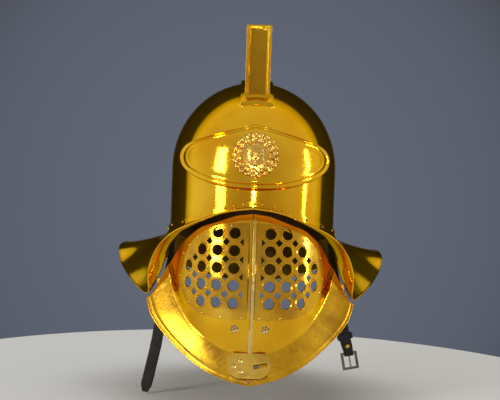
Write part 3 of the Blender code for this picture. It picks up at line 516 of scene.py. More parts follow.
def flange_row(place):
    """Root and edge of the flange between its corner facet, 0, and the chin."""
    if place < 1:
        row = line_row(FLANGE_TABLE[0], FLANGE_TABLE[1], place)
    else:
        row = curve_row(FLANGE_TABLE[1:], place - 1)
    seam = VISOR_SEAM / 2
    root_x = max(seam, row[0] * VISOR_HALF_WIDTH)
    root_z = -row[1] * VISOR_CHIN_ROOT
    root = Vector((root_x, visor_y(root_x, root_z), root_z))
    edge_x = max(seam, row[2] * FLANGE_HALF_WIDTH)
    edge = Vector((edge_x, -row[3] * FLANGE_CHIN_REACH, -row[4] * FLANGE_CHIN_DROP))
    return root, edge


def flange_point(place, outward, offset=0.0):
    """The flange's face at a place, from its root, 0, to its edge, 1."""
    root, edge = flange_row(place)
    ahead = flange_row(min(place + 0.1, len(FLANGE_TABLE) - 1))
    behind = flange_row(max(place - 0.1, 0))
    along = ahead[0].lerp(ahead[1], outward) - behind[0].lerp(behind[1], outward)
    normal = along.cross(edge - root).normalized()
    if normal.y > 0:
        normal.negate()
    return root.lerp(edge, outward) + offset * normal


def flange_at(x, outward, offset):
    """The flange near the chin, found by its distance from the middle."""
    low, high = 3.0, len(FLANGE_TABLE) - 1.0
    for _ in range(30):
        place = (low + high) / 2
        if flange_point(place, outward).x > abs(x):
            low = place
        else:
            high = place
    point = flange_point(place, outward, offset)
    return Vector((x, point.y, point.z))


def inside(point, outline):
    """Whether a closed outline goes round a point."""
    x, z = point
    hit = False
    for (ax, az), (bx, bz) in zip(outline, outline[1:] + outline[:1]):
        if (az > z) != (bz > z) and x < ax + (z - az) * (bx - ax) / (bz - az):
            hit = not hit
    return hit


def fill(outline, holes, spacing):
    """Triangles over an outline with holes, on a grid of points inside it."""
    points = [Vector(p) for p in outline]
    loops = [list(range(len(outline)))]
    for hole in holes:
        loops.append(list(range(len(points), len(points) + len(hole))))
        points.extend(Vector(p) for p in hole)
    edges = [(a, b) for loop in loops for a, b in zip(loop, loop[1:] + loop[:1])]
    border = []
    for a, b in edges:
        pieces = max(1, round((points[a] - points[b]).length / (spacing / 3)))
        border.extend(points[a].lerp(points[b], k / pieces) for k in range(pieces))
    low_x, high_x = min(p.x for p in points), max(p.x for p in points)
    low_z, high_z = min(p.y for p in points), max(p.y for p in points)
    for i in range(1, int((high_x - low_x) / spacing) + 1):
        for j in range(1, int((high_z - low_z) / spacing) + 1):
            spot = Vector((low_x + i * spacing, low_z + j * spacing))
            if not inside(spot, outline) or any(inside(spot, hole) for hole in holes):
                continue
            if min((spot - p).length for p in border) > spacing * 0.5:
                points.append(spot)
    result = delaunay_2d_cdt(points, edges, [], 0, 1e-7)
    flat, faces = result[0], result[2]
    kept = []
    for face in faces:
        middle = sum((flat[k] for k in face), Vector((0, 0))) / len(face)
        if inside(middle, outline) and not any(inside(middle, hole) for hole in holes):
            kept.append(tuple(face))
    return flat, kept


def grille_outline():
    """The grille plate's outline, in length along the dome and height."""
    outline = [(GRILLE_INNER, -GRILLE_TOP)]
    for across, drop in GRILLE_TABLE:
        outline.append((across * GRILLE_HALF_WIDTH, -GRILLE_TOP - drop * (GRILLE_BOTTOM - GRILLE_TOP)))
    outline.append((GRILLE_INNER, -GRILLE_BOTTOM))
    return outline


def x_to_arc(x):
    """The length along the dome's surface out to x."""
    step = 0.5 * MM
    arc = 0.0
    for k in range(int(x / step)):
        slope = (visor_y((k + 1) * step, 0) - visor_y(k * step, 0)) / step
        arc += step * math.sqrt(1 + slope ** 2)
    return arc


def eye_opening():
    """The grille's outline moved in by the margin that it is riveted on."""
    outline = grille_outline()
    moved = []
    for k, point in enumerate(outline):
        before = Vector(outline[k - 1])
        after = Vector(outline[(k + 1) % len(outline)])
        along = (after - before).normalized()
        moved.append(tuple(Vector(point) + EYE_MARGIN * Vector((along.y, -along.x))))
    return moved


def mesh_of(points, faces, outward=None):
    """A mesh from points and faces, turned so that its faces look along outward."""
    mesh = bpy.data.meshes.new("shape")
    mesh.from_pydata([tuple(p) for p in points], [], faces)
    work = bmesh.new()
    work.from_mesh(mesh)
    bmesh.ops.remove_doubles(work, verts=work.verts, dist=MERGE)
    bmesh.ops.recalc_face_normals(work, faces=work.faces)
    if outward is not None:
        facing = sum(f.normal.dot(outward(f.calc_center_median())) * f.calc_area() for f in work.faces)
        if facing < 0:
            bmesh.ops.reverse_faces(work, faces=work.faces)
    work.to_mesh(mesh)
    work.free()
    return mesh


def hasp_point(x, up, rise):
    """A point of the chin flange in front of the seam, at rise from its face."""
    root, edge = flange_row(len(FLANGE_TABLE) - 1)
    outward = HASP_CENTRE_SHARE - up / (edge - root).length
    return flange_at(x, outward, rise)


def strap_centre(side, length, along):
    """The middle of a strap at a share of its length, and its twist."""
    row = curve_row(STRAP_TABLE, strap_place(along))
    wall = math.sqrt(1 - (STRAP_Y / BOWL_HALF_DEPTH) ** 2) * BOWL_HALF_WIDTH
    start = wall - SHEET - GAP - STRAP_LEATHER / 2 - STRAP_ROOM
    x = start + row[1] * STRAP_SPREAD
    y = -STRAP_Y - row[2] * STRAP_FORWARD
    return Vector((side * x, y, -STRAP_TOP - along * length)), row[3]


def strap_place(along):
    """Where in the strap's table a share of its length lies."""
    for k in range(len(STRAP_TABLE) - 1):
        first, second = STRAP_TABLE[k][0], STRAP_TABLE[k + 1][0]
        if along <= second:
            return k + (along - first) / (second - first)
    return float(len(STRAP_TABLE) - 1)


def strap_frame(side, length, along):
    """Centre, width and face directions of a strap at a share of its length."""
    centre, twist = strap_centre(side, length, along)
    ahead = strap_centre(side, length, min(along + 0.02, 1))[0]
    behind = strap_centre(side, length, max(along - 0.02, 0))[0]
    down = (ahead - behind).normalized()
    turn = math.radians(twist)
    wide = Vector((math.cos(turn), side * math.sin(turn), 0))
    wide = (wide - down * wide.dot(down)).normalized()
    return centre, wide, down, down.cross(wide)


# Height of the brim's joint in the frame. The shapes above are measured from it.
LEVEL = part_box("bowl")[1][2] - BOWL_SHOULDER - BOWL_DOME
RISE = Vector((0, 0, LEVEL))


def ramp(tree, source, stops):
    node = tree.nodes.new("ShaderNodeValToRGB")
    while len(node.color_ramp.elements) < len(stops):
        node.color_ramp.elements.new(0.5)
    for element, (place, colour) in zip(node.color_ramp.elements, stops):
        element.position = place
        element.color = (colour, colour, colour, 1) if isinstance(colour, float) else (*colour, 1)
    tree.links.new(source, node.inputs[0])
    return node.outputs[0]


def new_material(name):
    """A material with its node tree and its shader."""
    made = bpy.data.materials.new(name)
    made.use_nodes = True
    return made, made.node_tree, made.node_tree.nodes["Principled BSDF"]


def bump(tree, height, strength, distance):
    node = tree.nodes.new("ShaderNodeBump")
    node.inputs["Strength"].default_value = strength
    node.inputs["Distance"].default_value = distance
    tree.links.new(height, node.inputs["Height"])
    return node


def noise(tree, place, scale, detail, stretch=None):
    node = tree.nodes.new("ShaderNodeTexNoise")
    node.inputs["Scale"].default_value = scale
    node.inputs["Detail"].default_value = detail
    if stretch:
        mapping = tree.nodes.new("ShaderNodeMapping")
        mapping.inputs["Scale"].default_value = stretch
        tree.links.new(place, mapping.inputs[0])
        place = mapping.outputs[0]
    tree.links.new(place, node.inputs["Vector"])
    return node.outputs["Fac"]


def metal(name, colours, rough, wave, stain=0.0, grain=0.02, stain_colour=(0.16, 0.07, 0.02)):
    """Hand-worked metal: drifting colour, soft hammer waves, fine scratches and stains."""
    made, tree, shader = new_material(name)
    shader.inputs["Metallic"].default_value = 1
    shader.inputs["Specular Tint"].default_value = (0.62, 0.50, 0.10, 1)
    place = tree.nodes.new("ShaderNodeTexCoord").outputs["Object"]
    broad = noise(tree, place, 14, 4)
    colour = ramp(tree, broad, [(0.32, colours[0]), (0.5, colours[1]), (0.68, colours[2])])
    fine = noise(tree, place, 260, 5)
    if stain:
        cloud = noise(tree, place, 34, 7)
        amount = ramp(tree, cloud, [(0.56 - 0.2 * stain, 0.0), (0.72, stain)])
        mix = tree.nodes.new("ShaderNodeMix")
        mix.data_type = "RGBA"
        tree.links.new(amount, mix.inputs["Factor"])
        tree.links.new(colour, mix.inputs["A"])
        mix.inputs["B"].default_value = (*stain_colour, 1)
        colour = mix.outputs["Result"]
    tree.links.new(colour, shader.inputs["Base Color"])
    roughness = ramp(tree, fine, [(0.3, rough[0]), (0.75, rough[1])])
    tree.links.new(roughness, shader.inputs["Roughness"])
    waves = bump(tree, noise(tree, place, 16, 1), wave, 0.02)
    scratch = bump(tree, noise(tree, place, 150, 6, (1, 1, 7)), grain, 0.002)
    tree.links.new(waves.outputs[0], scratch.inputs["Normal"])
    tree.links.new(scratch.outputs[0], shader.inputs["Normal"])
    return made


def leather(name):
    """Dark strap leather: pebbled grain, paler wear and a waxy sheen."""
    made, tree, shader = new_material(name)
    shader.inputs["Specular IOR Level"].default_value = 0.25
    place = tree.nodes.new("ShaderNodeTexCoord").outputs["Object"]
    tone = ramp(tree, noise(tree, place, 70, 6), [
        (0.3, (0.004, 0.003, 0.0025)), (0.6, (0.009, 0.006, 0.005)), (0.8, (0.022, 0.014, 0.010))])
    tree.links.new(tone, shader.inputs["Base Color"])
    roughness = ramp(tree, noise(tree, place, 300, 3), [(0.3, 0.42), (0.7, 0.66)])
    tree.links.new(roughness, shader.inputs["Roughness"])
    cells = tree.nodes.new("ShaderNodeTexVoronoi")
    cells.inputs["Scale"].default_value = 900
    tree.links.new(place, cells.inputs["Vector"])
    pebbles = bump(tree, cells.outputs["Distance"], 0.35, 0.0004)
    tree.links.new(pebbles.outputs[0], shader.inputs["Normal"])
    return made


GOLD = ((0.78, 0.38, 0.012), (0.86, 0.47, 0.020), (0.93, 0.56, 0.034))
BRASS = metal("polished_brass", GOLD, (0.06, 0.14), wave=0.10)
BOWL_BRASS = metal("bowl_brass", GOLD, (0.05, 0.10), wave=0.045)
WORN = metal("worn_brass", ((0.50, 0.25, 0.012), (0.68, 0.36, 0.020), (0.80, 0.46, 0.035)),
             (0.22, 0.40), wave=0.10, stain=0.6, grain=0.06)
GRILLE_BRASS = metal("grille_brass", ((0.56, 0.27, 0.014), (0.72, 0.39, 0.03), (0.88, 0.54, 0.07)),
                     (0.08, 0.2), wave=0.12, stain=0.5)
CAST = metal("cast_brass_relief", ((0.60, 0.31, 0.03), (0.80, 0.46, 0.07), (0.92, 0.62, 0.16)),
             (0.18, 0.32), wave=0.03, stain=0.3, grain=0.05)
PALE = metal("pale_brass", ((0.74, 0.46, 0.07), (0.88, 0.60, 0.14), (0.94, 0.74, 0.28)),
             (0.12, 0.28), wave=0.08, stain=0.4, grain=0.05)
PLATE = metal("plate_brass", ((0.66, 0.36, 0.03), (0.80, 0.48, 0.06), (0.92, 0.62, 0.12)),
              (0.10, 0.24), wave=0.14, stain=0.4, grain=0.05)
# Darker brass for the crest's sunk front panel: painted shade in the recess.
CHANNEL_SHADE = metal("channel_painted_shade", ((0.44, 0.22, 0.010), (0.58, 0.31, 0.016), (0.70, 0.40, 0.03)),
                (0.05, 0.10), wave=0.06, stain=0.2)
STEEL = metal("worn_steel", ((0.08, 0.07, 0.06), (0.16, 0.145, 0.13), (0.34, 0.32, 0.30)),
              (0.16, 0.36), wave=0.05, stain=0.3, grain=0.1, stain_colour=(0.08, 0.05, 0.03))
# Inside of the bowl and under the rear of the brim: rough metal coloured near-black, with darker clouds, as
# painted shade.
INSIDE_SHADE = metal("inside_painted_shade", ((0.05, 0.03, 0.008), (0.09, 0.055, 0.014), (0.14, 0.085, 0.02)),
               (0.45, 0.7), wave=0.1, stain=0.5, grain=0.1, stain_colour=(0.02, 0.012, 0.006))
LEATHER = leather("strap_leather")

# Finish, slot and softening in mm of the pieces that are shown as built
CAD_LOOKS = {
    "hinge_bracket": (WORN, "brass", 0.3),
    "hinge_leaf": (WORN, "brass", 0.3),
    "hasp_plate": (PLATE, "brass", 0.35),
    "hasp_rivet": (PALE, "brass", 0.3),
    "hasp_stud": (STEEL, "steel", 0.3),
    "strap_rivet": (CAST, "brass", 0.3),
    "keeper": (LEATHER, "leather", 0.4),
    "buckle_frame": (STEEL, "steel", 0.5),
    "buckle_prong": (STEEL, "steel", 0.3),
    "buckle_rivet": (CAST, "brass", 0.3),
}


def add_object(name, data):
    made = bpy.data.objects.new(name, data)
    bpy.context.collection.objects.link(made)
    return made


def soften(made, width):
    edge = made.modifiers.new("edge", "BEVEL")
    edge.width = width
    edge.segments = 2
    edge.limit_method = "ANGLE"
    return edge


def piece(name, mesh, finish, body, nodes=(), sheet=0, bevel=0, inner=False):
    """A shown piece that rides on a body, stands for CAD nodes and has a finish."""
    mesh.name = name
    made = add_object(name, mesh)
    mesh.transform(Matrix.Translation(RISE))
    for each in finish if isinstance(finish, list) else [finish]:
        mesh.materials.append(each)
    mesh.shade_smooth()
    mesh.set_sharp_from_angle(angle=SHARP_ANGLE)
    work = bmesh.new()
    work.from_mesh(mesh)
    for edge in work.edges:
        if edge.is_boundary:
            edge.smooth = False
    work.to_mesh(mesh)
    work.free()
    if sheet:
        wall = made.modifiers.new("wall", "SOLIDIFY")
        wall.thickness = sheet
        wall.offset = -1
        wall.material_offset = 1 if inner else 0
    if bevel:
        soften(made, bevel).harden_normals = True
    if nodes:
        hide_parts(*nodes)
    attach(made, body)
    return made


def tube(path, radius, sides=8):
    """Points and faces of a closed wire of round section along a path."""
    points = []
    for k, p in enumerate(path):
        along = (path[(k + 1) % len(path)] - path[k - 1]).normalized()
        side = along.cross(Vector((0.01, 0.02, 1))).normalized()
        up = side.cross(along)
        points += [p + across * side + rise * up for across, rise in circle(0, 0, radius, sides)]
    return points, loop_faces(len(path), sides)


class Parts:
    """Collects the points and faces of several solids into one mesh."""

    def __init__(self):
        self.points, self.faces = [], []

    def add(self, points, faces):
        start = len(self.points)
        self.points += list(points)
        self.faces += [tuple(start + k for k in face) for face in faces]

    def mesh(self):
        return mesh_of(self.points, self.faces)


def dome_rivet(centre, normal, radius, height, sides=16):
    """A domed rivet head: a short skirt and four rings to its crown."""
    turn = Vector((0, 0, 1)).rotation_difference(normal).to_matrix()
    points = []
    rings = [(1.0, -0.1), (1.0, 0.15), (0.9, 0.45), (0.7, 0.75), (0.4, 0.95)]
    for across, rise in rings:
        for x, y in circle(0, 0, across * radius, sides):
            points.append(centre + turn @ Vector((x, y, rise * height)))
    points += [centre + turn @ Vector((0, 0, height)), centre + turn @ Vector((0, 0, -0.1 * height))]
    return points, capped_faces(len(rings), sides, based=True)


def ring_on(place, radius, wire, sides=24, section=6):
    """A raised ring on a surface, where place(u, v, rise) gives the surface."""
    points = []
    for k in range(sides):
        turn = 2 * math.pi * k / sides
        for reach, rise in circle(radius, 0, wire, section):
            points.append(place(reach * math.cos(turn), reach * math.sin(turn), rise))
    return points, loop_faces(sides, section)


def bowl_shell():
    """The bowl from its joint with the brim, up its wall and over its dome."""
    angles = [360 * k / BOWL_COLUMNS for k in range(BOWL_COLUMNS)]
    points = []
    for share in (0, 0.34, 0.67):
        for angle in angles:
            x, y = ring_point(angle, 0)
            low = collar_height(angle)
            points.append((x, y, low + share * (BOWL_SHOULDER - low)))
    for level in range(BOWL_RINGS):
        tilt = math.radians(90 * level / BOWL_RINGS)
        height = BOWL_SHOULDER + BOWL_DOME * math.sin(tilt)
        for angle in angles:
            x, y = ring_point(angle, 0)
            points.append((x * math.cos(tilt), y * math.cos(tilt), height))
    points.append((0, 0, BOWL_SHOULDER + BOWL_DOME))
    mesh = mesh_of(points, capped_faces(BOWL_RINGS + 3, BOWL_COLUMNS), lambda c: c)
    # Its inner wall takes the near-black inside finish: painted shade inside the bowl.
    piece("bowl_shell", mesh, [BOWL_BRASS, INSIDE_SHADE], "helmet", ["bowl"], sheet=SHEET, inner=True)


def brim_shell():
    """The brim with its collar, its rolled edge and its rivets."""
    angles = [360 * k / BRIM_COLUMNS for k in range(BRIM_COLUMNS)]
    points = [brim_point(angle, 0) + Vector((0, 0, BRIM_COLLAR)) for angle in angles]
    for share in BRIM_SHARES:
        points.extend(brim_point(angle, share) for angle in angles)
    faces = grid_faces(len(BRIM_SHARES) + 1, BRIM_COLUMNS, around=True)
    mesh = mesh_of(points, faces, lambda c: Vector((c.x, c.y, 0.1)))
    # Faces towards the rear get slot 2, whose underside takes the near-black inside finish: painted shade
    # under the rear of the brim.
    for face in mesh.polygons:
        face.material_index = 2 if face.center.y > BRIM_SHADE_FROM else 0
    finish = [BRASS, BRASS, BRASS, INSIDE_SHADE]
    piece("brim_shell", mesh, finish, "helmet", ["brim"], sheet=SHEET, inner=True)

    edge = [brim_point(angle, BRIM_EDGE_SHARE) + Vector((0, 0, -SHEET / 2)) for angle in angles]
    piece("brim_rolled_edge", mesh_of(*tube(edge, BRIM_EDGE)), BRASS, "helmet")

    rivets = Parts()
    for angle in BRIM_RIVET_ANGLES:
        x, y = ring_point(angle, GAP + SHEET + BRIM_STAND)
        normal = Vector((x / BOWL_HALF_WIDTH ** 2, y / BOWL_HALF_DEPTH ** 2, 0)).normalized()
        centre = Vector((x, y, collar_height(angle) + BRIM_RIVET_SHARE * BRIM_COLLAR))
        rivets.add(*dome_rivet(centre, normal, BRIM_RIVET, RIVET_HEIGHT))
    piece("brim_rivets", rivets.mesh(), WORN, "helmet")


def brow_shell():
    """The brow plate, a sheet that follows the bowl inside its bordered outline."""
    steps = 8
    half = []
    for k in range(steps):
        half.append(line_row(BROW_TABLE[0], BROW_TABLE[1], k / steps))
    for k in range(steps, steps * (len(BROW_TABLE) - 1)):
        half.append(curve_row(BROW_TABLE, k / steps))
    half.append(BROW_TABLE[-1])
    outline = []
    for across, height in half + [(-a, h) for a, h in reversed(half[1:-1])]:
        size = BROW_PEAK if height > 0 else BROW_DEPTH
        outline.append((across * BROW_HALF_WIDTH, height * size))
    points = []
    for inward, rise in BROW_PROFILE:
        for x, z in outline:
            keep_x, keep_z = [1 - inward * f / (1 + (f - 1) * inward) for f in (0.75, 2.0 if z < 0 else 1.1)]
            points.append(brow_point(x * keep_x, z * keep_z, rise * BROW_RISE))
    points.append(brow_point(0, 0, BROW_CROWN * BROW_RISE))
    faces = capped_faces(len(BROW_PROFILE), len(outline))
    mesh = mesh_of(points, faces, lambda c: Vector((0, -1, 0)))
    piece("brow_shell", mesh, BRASS, "helmet", ["brow_plate"], sheet=PLATE_SHEET)


def bump_at(u, v, cu, cv, ru, rv, power=2.0):
    """A soft round swelling at (cu, cv), 1 at its top and 0 outside its radii."""
    d = ((u - cu) / ru) ** 2 + ((v - cv) / rv) ** 2
    return max(0.0, 1 - d) ** (1 / power) if d < 1 else 0.0


def mask_relief(u, v):
    """A calm generic mask: head height 1, with features on the halves and thirds."""
    head = bump_at(u, v, 0, 0, 0.37, 0.50)
    if head <= 0:
        return 0.0
    rise = 0.62 * head
    for across, up, half_width, half_height, power, height in MASK_TABLE:
        for side in (-1, 1) if across else (1,):
            rise += height * bump_at(u, v, side * across, up, half_width, half_height, power)
    return rise


def curl_relief(u, v):
    """Rings of round curls about the mask, each with a drilled middle."""
    radius = math.hypot(u, v)
    turn = math.atan2(v, u)
    rise = 0.0
    for ring, (middle, size, count) in enumerate(CURL_TABLE):
        phase = (turn / (2 * math.pi) * count + 0.5 * (ring % 2)) % 1 - 0.5
        across = phase * 2 * math.pi * middle / count
        gap = math.hypot(across, radius - middle) / size
        if gap < 1:
            curl = math.sqrt(1 - gap * gap) - 0.55 * max(0.0, 1 - gap / 0.42)
            rise = max(rise, (0.52 + 0.06 * ring) * curl + 0.12)
    return rise


def medallion_cast():
    """The medallion: a mask between rings of curls, on a disc with a scalloped rim."""
    seat = BROW_CROWN * BROW_RISE + GAP + MEDAL_STAND
    centre_z = MEDAL_HEIGHT - BROW_CENTRE_HEIGHT

    def place(radius, turn, rise):
        return brow_point(radius * math.sin(turn), centre_z + radius * math.cos(turn), seat + rise)

    points = []
    for share in [1.0] + [1 - k / MEDAL_RINGS for k in range(MEDAL_RINGS)]:
        for k in range(MEDAL_COLUMNS):
            turn = 2 * math.pi * k / MEDAL_COLUMNS
            radius = share * (1 + MEDAL_WAVE * math.cos(CURL_TABLE[0][2] * turn)) * MEDAL_RADIUS * MEDAL_FULL
            u, v = share * math.sin(turn), share * math.cos(turn)
            base = MEDAL_GROUND * min(1.0, (1 - share) / 0.04)
            rise = base + max(curl_relief(u, v), MASK_RISE * mask_relief(u * 0.98, v * 0.98 - 0.02))
            if share == 1.0:
                rise = 0.0 if len(points) < MEDAL_COLUMNS else 0.2
            points.append(place(radius, turn, MEDAL_DEPTH * rise * MEDAL_RELIEF))
    crown = MEDAL_GROUND + MASK_RISE * mask_relief(0, -0.02)
    points += [place(0, 0, MEDAL_DEPTH * MEDAL_RELIEF * crown), place(0, 0, 0)]
    mesh = mesh_of(points, capped_faces(MEDAL_RINGS + 1, MEDAL_COLUMNS, based=True))
    piece("medallion_cast", mesh, CAST, "helmet", ["medallion"])


def visor_vents(side):
    """A flower of six petal holes round one in the middle, low on the dome."""
    x, z = VENT_CENTRE
    holes = []
    for k in range(6):
        turn = 2 * math.pi * k / 6 + 0.3 * side
        petal = x + VENT_REACH * math.cos(turn), z + VENT_REACH * math.sin(turn)
        holes.append(circle(*petal, VENT_PETAL, 10))
    return holes + [circle(x, z, VENT_MIDDLE, 10)]


def visor_shell(word, side):
    """A visor half: its dome with the eye opening and vents, and its chin flange."""
    seam = VISOR_SEAM / 2
    places = [k / 10 for k in range(10 * (len(FLANGE_TABLE) - 1) + 1)]
    root = [flange_row(place)[0] for place in places]
    outline = [(seam, -VISOR_TOP)]
    for k in range(6, 6 * (len(VISOR_TOP_TABLE) - 1)):
        across, drop = curve_row(VISOR_TOP_TABLE, k / 6)
        outline.append((across * VISOR_HALF_WIDTH, -drop * VISOR_CHIN_ROOT))
    outline += [(p.x, p.z) for p in root]
    for k in range(1, VISOR_SEAM_STEPS):
        outline.append((seam, root[-1].z + (-VISOR_TOP - root[-1].z) * k / VISOR_SEAM_STEPS))
    flat, faces = fill(outline, [eye_opening()] + visor_vents(side), VISOR_FILL)
    points = [visor_point(p.x, p.y) for p in flat]
    for p in points:
        p.x = max(p.x, seam)
    start = len(points)
    for outward, rise in FLANGE_PROFILE:
        row = []
        for place in places:
            fade = min(1, max(0, place - BEAD_START))
            row.append(flange_point(place, outward, rise * FLANGE_BEAD * fade))
        for p in row:
            p.x = max(p.x, seam)
        row[-1].x = seam
        points.extend(row)
    faces += [tuple(start + k for k in face) for face in grid_faces(len(FLANGE_PROFILE), len(places))]
    points = [Vector((side * p.x, p.y, p.z)) for p in points]
    mesh = mesh_of(points, faces, lambda c: Vector((0, -1, 0)))
    body = "visor_" + word
    made = piece("visor_shell_" + word, mesh, [BRASS, WORN], body, [body], sheet=SHEET)
    for face in made.data.polygons:
        centre = face.center - RISE
        near = min(root, key=lambda p: abs(p.x - abs(centre.x)) + abs(p.z - centre.z))
        behind = centre.y > visor_y(abs(centre.x), centre.z) + WORN_BEHIND
        below = centre.z < near.z - WORN_BELOW
        beside = abs(centre.x) > near.x + WORN_BESIDE and centre.z < WORN_TOP
        if behind or below or beside:
            face.material_index = 1


def grille_shell(word, side):
    """A grille plate with its holes, a raised ring round each, and its rivets."""
    outline = []
    corners = [(x_to_arc(x), z) for x, z in grille_outline()]
    for index in range(len(corners) - 1):
        for k in range(4):
            if index in (0, len(corners) - 2):
                outline.append(tuple(line_row(corners[index], corners[index + 1], k / 4)))
            else:
                outline.append(tuple(curve_row(corners, index + k / 4)))
    outline.append(corners[-1])
    (inner, top), bottom = corners[0], corners[-1][1]
    for k in range(1, GRILLE_SEAM_STEPS):
        outline.append((inner, bottom + (top - bottom) * k / GRILLE_SEAM_STEPS))
    rounds = []
    for row, count in enumerate(GRILLE_ROWS):
        z = -(HOLE_TOP_ROW + row * HOLE_ROW_PITCH)
        rounds += [(column * HOLE_PITCH, z) for column in range(1, count + 1)]
    holes = [circle(arc, z, HOLE_RADIUS, HOLE_SIDES) for arc, z in rounds]
    for row in range(len(GRILLE_ROWS) - 1):
        z = -(HOLE_TOP_ROW + (row + 0.5) * HOLE_ROW_PITCH)
        for column in range(min(GRILLE_ROWS[row], GRILLE_ROWS[row + 1], DIAMOND_COLUMNS) + 1):
            arc = (column + 0.5) * HOLE_PITCH
            diamond = [(arc, z - DIAMOND_HALF), (arc + DIAMOND_HALF, z), (arc, z + DIAMOND_HALF)]
            if column:
                diamond.append((arc - DIAMOND_HALF, z))
            holes.append(diamond)
    flat, faces = fill(outline, holes, GRILLE_FILL)
    lift = GAP + GRILLE_SHEET + GRILLE_STAND

    def place(arc, z, rise):
        p = visor_point(arc_to_x(arc), z, lift + rise)
        return Vector((side * p.x, p.y, p.z))

    points = [place(p.x, p.y, 0) for p in flat]
    mesh = mesh_of(points, faces, lambda c: Vector((0, -1, 0)))
    body = "visor_" + word
    piece("grille_shell_" + word, mesh, GRILLE_BRASS, body, ["grille_" + word], sheet=GRILLE_SHEET)

    rings = Parts()
    for arc, z in rounds:
        rings.add(*ring_on(lambda u, v, rise: place(arc + u, z + v, rise),
                           HOLE_RADIUS + RING_REACH, RING_WIRE))
    rivets = Parts()
    middle = Vector(GRILLE_MIDDLE)
    for spot in [corners[k] for k in GRILLE_RIVET_CORNERS] + [(GRILLE_LAST_RIVET, bottom)]:
        spot = Vector(spot)
        spot += (middle - spot).normalized() * GRILLE_RIVET_INSET
        centre = place(spot.x, spot.y, 0)
        normal = (place(spot.x, spot.y, 1 * MM) - centre).normalized()
        rivets.add(*dome_rivet(centre, normal, GRILLE_RIVET, RIVET_HEIGHT))
    piece("grille_rings_" + word, rings.mesh(), BRASS, body)
    piece("grille_rivets_" + word, rivets.mesh(), CAST, body)


def crest_shell():
    """The crest: a closed box with a sunk panel on each side and in front."""
    fine = []
    for index in range(len(CREST_TABLE) - 1):
        fine += [curve_row(CREST_TABLE, index + k / 5) for k in range(5)]
    fine.append(CREST_TABLE[-1])
    work = bmesh.new()
    base = []
    first = math.asin(-CREST_FRONT / BOWL_HALF_DEPTH)
    last = math.asin(CREST_REAR / BOWL_HALF_DEPTH)
    for k in range(CREST_STEPS + 1):
        y = BOWL_HALF_DEPTH * math.sin(first + (last - first) * k / CREST_STEPS)
        base.append((y, bowl_height(CREST_HALF_WIDTH, y, CREST_SEAT)))
    top = [(r * (CREST_FRONT if r < 0 else CREST_REAR), h * CREST_TOP) for r, h in fine]
    sides = []
    for sign in (-1, 1):
        low = [work.verts.new((sign * CREST_HALF_WIDTH, y, z)) for y, z in base]
        high = [work.verts.new((sign * CREST_HALF_WIDTH, y, z)) for y, z in top]
        sides.append((low, high))
        outline = low + list(reversed(high))
        work.faces.new(outline if sign > 0 else list(reversed(outline)))
    (low_left, high_left), (low_right, high_right) = sides
    toe = work.verts.new((0, -CREST_FRONT, bowl_height(0, -CREST_FRONT, CREST_SEAT)))
    heel = work.verts.new((0, CREST_REAR, bowl_height(0, CREST_REAR, CREST_SEAT)))
    front = work.faces.new((low_left[0], toe, low_right[0], high_right[0], high_left[0]))
    for k in range(len(top) - 1):
        work.faces.new((high_left[k], high_right[k], high_right[k + 1], high_left[k + 1]))
    work.faces.new((high_left[-1], high_right[-1], low_right[-1], heel, low_left[-1]))
    work.normal_update()
    for face in [f for f in work.faces if len(f.verts) > 5] + [front]:
        for width, depth in ((CREST_BORDER, 0), (CREST_SLOPE, -CREST_RECESS)):
            bmesh.ops.inset_individual(work, faces=[face], thickness=width, depth=depth,
                                       use_even_offset=face is front)
    rim = [e for e in work.edges if e.is_boundary]
    flare = bmesh.ops.extrude_edge_only(work, edges=rim)["geom"]
    middle = (CREST_REAR - CREST_FRONT) / 2
    half_length = (CREST_REAR + CREST_FRONT) / 2
    for vert in [g for g in flare if isinstance(g, bmesh.types.BMVert)]:
        vert.co.x *= 1 + CREST_FOOT / CREST_HALF_WIDTH
        vert.co.y = middle + (vert.co.y - middle) * (1 + CREST_FOOT / half_length)
        vert.co.z = bowl_height(vert.co.x, vert.co.y, CREST_SEAT)
    hem = bmesh.ops.extrude_edge_only(work, edges=[e for e in work.edges if e.is_boundary])["geom"]
    for vert in [g for g in hem if isinstance(g, bmesh.types.BMVert)]:
        vert.co.z = bowl_height(vert.co.x, vert.co.y, GAP)
    bmesh.ops.recalc_face_normals(work, faces=work.faces)
    if sum(f.normal.z * f.calc_area() for f in work.faces) < 0:
        bmesh.ops.reverse_faces(work, faces=work.faces)
    bmesh.ops.triangulate(work, faces=[f for f in work.faces if len(f.verts) > 5])
    mesh = bpy.data.meshes.new("crest_shell")
    work.to_mesh(mesh)
    work.free()
    finish = [BOWL_BRASS, CHANNEL_SHADE]
    piece("crest_shell", mesh, finish, "helmet", ["crest"], sheet=SHEET, bevel=CREST_BEVEL)
    # Faces of the sunk front panel take the darker channel brass: painted shade in the recess.
    for face in mesh.polygons:
        sunk = face.center.y > CREST_RECESS / 2 - CREST_FRONT
        if face.normal.y < -0.9 and abs(face.center.x) < 1 * MM and sunk:
            face.material_index = 1


